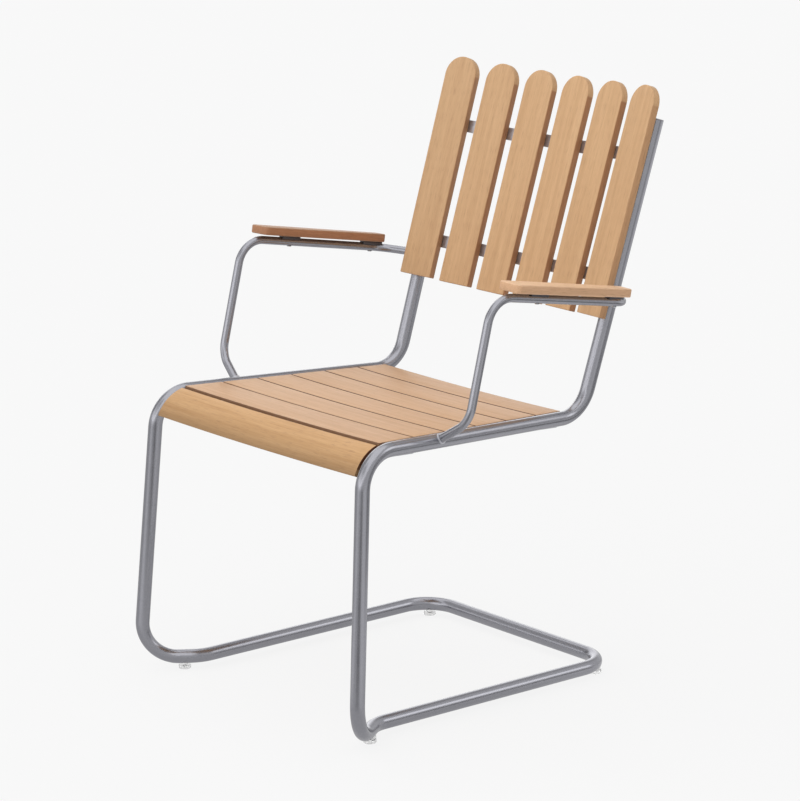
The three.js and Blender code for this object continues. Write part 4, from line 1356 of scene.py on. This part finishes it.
floor_mesh = bmesh.new()
bmesh.ops.create_grid(floor_mesh, x_segments=1, y_segments=1, size=FLOOR_SIZE / 2)
floor_data = bpy.data.meshes.new("floor")
floor_mesh.to_mesh(floor_data)
floor_mesh.free()
floor = bpy.data.objects.new("floor", floor_data)
bpy.context.scene.collection.objects.link(floor)
floor_material, floor_shader = new_material("studio_floor", metallic=0, roughness=FLOOR_ROUGHNESS)
floor_shader.inputs["Base Color"].default_value = FLOOR_COLOUR
floor_shader.inputs["Specular IOR Level"].default_value = 0
floor.data.materials.append(floor_material)


# %% What the camera and the metal see of the floor
def dot_with(tree, vector, direction):
    """The dot product of a vector socket with a fixed direction."""
    node = tree.nodes.new("ShaderNodeVectorMath")
    node.operation = "DOT_PRODUCT"
    tree.links.new(vector, node.inputs[0])
    node.inputs[1].default_value = direction
    return node.outputs["Value"]


def seen_rays(tree):
    """1 on camera, glossy and transmission rays, and the Light Path node they come from."""
    rays = tree.nodes.new("ShaderNodeLightPath")
    seen = calculate(tree, "MAXIMUM", rays.outputs["Is Camera Ray"], rays.outputs["Is Glossy Ray"])
    return calculate(tree, "MAXIMUM", seen, rays.outputs["Is Transmission Ray"]), rays


# Each patch: direction, cosines where it begins and is full, distances where it sets in and is full, change
FLOOR_PATCHES = (
    (Vector((1.0, -0.1, 0)), 0.84, 0.96, (0.3, 0.8), 0.4),
    (Vector((0.75, 0.66, 0)), 0.9, 0.97, (0.2, 0.4), 0.25),
    (Vector((0.75, 0.66, 0)), 0.9, 0.97, (0.9, 1.4), -0.65),
    (Vector((0.50, 0.87, 0)), 0.82, 0.95, (2.0, 2.8), 0.7),
    (Vector((0.70, -0.71, 0)), 0.94, 0.99, (0.5, 1.0), -0.35),
    (Vector((-0.2, -0.98, 0)), 0.94, 0.985, (0.35, 0.7), 0.4),
)
floor_tree = floor_material.node_tree
floor_place = floor_tree.nodes.new("ShaderNodeTexCoord").outputs["Object"]
floor_seen, floor_rays = seen_rays(floor_tree)
far_off = floor_tree.nodes.new("ShaderNodeVectorMath")
far_off.operation = "LENGTH"
floor_tree.links.new(floor_place, far_off.inputs[0])
heading = floor_tree.nodes.new("ShaderNodeVectorMath")
heading.operation = "NORMALIZE"
floor_tree.links.new(floor_place, heading.inputs[0])
mirrored_look = remap(floor_tree, far_off.outputs["Value"], *FADE_OUT, NEAR_MIRRORED, FAR_MIRRORED)
for direction, outer, inner, onset, change in FLOOR_PATCHES:
    nearness = dot_with(floor_tree, heading.outputs["Vector"], direction.normalized())
    share = calculate(
        floor_tree, "MULTIPLY", remap(floor_tree, nearness, outer, inner),
        remap(floor_tree, far_off.outputs["Value"], *onset, 0, change),
    )
    mirrored_look = calculate(floor_tree, "ADD", share, mirrored_look)
floor_look = floor_tree.nodes.new("ShaderNodeMix")
floor_tree.links.new(floor_rays.outputs["Is Glossy Ray"], floor_look.inputs["Factor"])
floor_look.inputs["A"].default_value = FLOOR_SEEN
floor_tree.links.new(mirrored_look, floor_look.inputs["B"])
glow = floor_tree.nodes.new("ShaderNodeEmission")
floor_tree.links.new(floor_look.outputs["Result"], glow.inputs["Strength"])
floor_mix = floor_tree.nodes.new("ShaderNodeMixShader")
floor_tree.links.new(calculate(floor_tree, "MULTIPLY", floor_seen, EVEN_SHARE), floor_mix.inputs["Fac"])
floor_tree.links.new(floor_shader.outputs["BSDF"], floor_mix.inputs[1])
floor_tree.links.new(glow.outputs["Emission"], floor_mix.inputs[2])
floor_tree.links.new(floor_mix.outputs["Shader"], floor_tree.nodes["Material Output"].inputs["Surface"])
print("floor seen as", FLOOR_SEEN, "with an even share of", EVEN_SHARE)

# %% [markdown]
# ## Light and world
# A very soft sun from high in front shapes the boards, and an even pale world fills in. The two together
# bring a level surface to about the colour that is written for it. The world has another look for
# reflections: a low lit wall, a lit box in front, a narrow softbox, and five darker
# stretches. They give the round tubes their long light and dark bands.

# %% Sun
SUN_DIRECTION = Vector((-0.1, -0.47, 0.87))
SUN_STRENGTH = 2.36
SUN_ANGLE = math.radians(110)

sun_data = bpy.data.lights.new("sun", "SUN")
sun_data.energy = SUN_STRENGTH
sun_data.angle = SUN_ANGLE
sun = bpy.data.objects.new("sun", sun_data)
sun.rotation_euler = SUN_DIRECTION.to_track_quat("Z", "Y").to_euler()
bpy.context.scene.collection.objects.link(sun)

# %% World
WORLD_FILL = 0.36
WORLD_SEEN = 0.94
WORLD_MIRRORED = 0.84
# Each patch: direction, cosines where it begins and is full, change
LOW_WALL = (Vector((-0.85, 0.45, 0.2)), 0.86, 0.96, 0.96)
FRONT_BOX = (Vector((0.05, -0.96, 0.27)), 0.88, 0.96, 0.55)
DARK_ABOVE = (SUN_DIRECTION, 0.57, 0.66, -0.44)
SOFTBOX = (Vector((0.59, 0.62, 0.51)), 0.972, 0.986, 1.44)
DARK_ROOM = (Vector((0.78, 0.62, -0.05)), 0.95, 0.99, -0.56)
DARK_CORNER = (Vector((-0.75, -0.34, 0.57)), 0.885, 0.95, -0.9)
DARK_BEHIND = (Vector((-0.5, 0.55, 0.67)), 0.87, 0.96, -0.25)
DARK_FRONT = (Vector((0.0, -0.8, 0.6)), 0.9, 0.97, -0.85)
WORLD_PATCHES = (
    DARK_FRONT, DARK_BEHIND, LOW_WALL, FRONT_BOX, DARK_ABOVE, SOFTBOX, DARK_ROOM, DARK_CORNER,
)

world = bpy.data.worlds.new("studio")
world.use_nodes = True
world_tree = world.node_tree
fill = world_tree.nodes["Background"]
fill.inputs["Color"].default_value = (1, 1, 1, 1)
fill.inputs["Strength"].default_value = WORLD_FILL
looking = world_tree.nodes.new("ShaderNodeTexCoord").outputs["Generated"]
mirrored_strength = WORLD_MIRRORED
for direction, outer, inner, change in WORLD_PATCHES:
    nearness = dot_with(world_tree, looking, direction.normalized())
    patch = remap(world_tree, nearness, outer, inner, 0, change)
    mirrored_strength = calculate(world_tree, "ADD", patch, mirrored_strength)
world_seen, world_rays = seen_rays(world_tree)
strength = world_tree.nodes.new("ShaderNodeMix")
world_tree.links.new(world_rays.outputs["Is Glossy Ray"], strength.inputs["Factor"])
strength.inputs["A"].default_value = WORLD_SEEN
world_tree.links.new(mirrored_strength, strength.inputs["B"])
look = world_tree.nodes.new("ShaderNodeBackground")
look.inputs["Color"].default_value = (1, 1, 1, 1)
world_tree.links.new(strength.outputs["Result"], look.inputs["Strength"])
world_mix = world_tree.nodes.new("ShaderNodeMixShader")
world_tree.links.new(world_seen, world_mix.inputs["Fac"])
world_tree.links.new(fill.outputs["Background"], world_mix.inputs[1])
world_tree.links.new(look.outputs["Background"], world_mix.inputs[2])
world_tree.links.new(world_mix.outputs["Shader"], world_tree.nodes["World Output"].inputs["Surface"])
bpy.context.scene.world = world
bpy.context.scene.view_settings.view_transform = "Standard"
print("sun strength", SUN_STRENGTH, "world fill", WORLD_FILL)
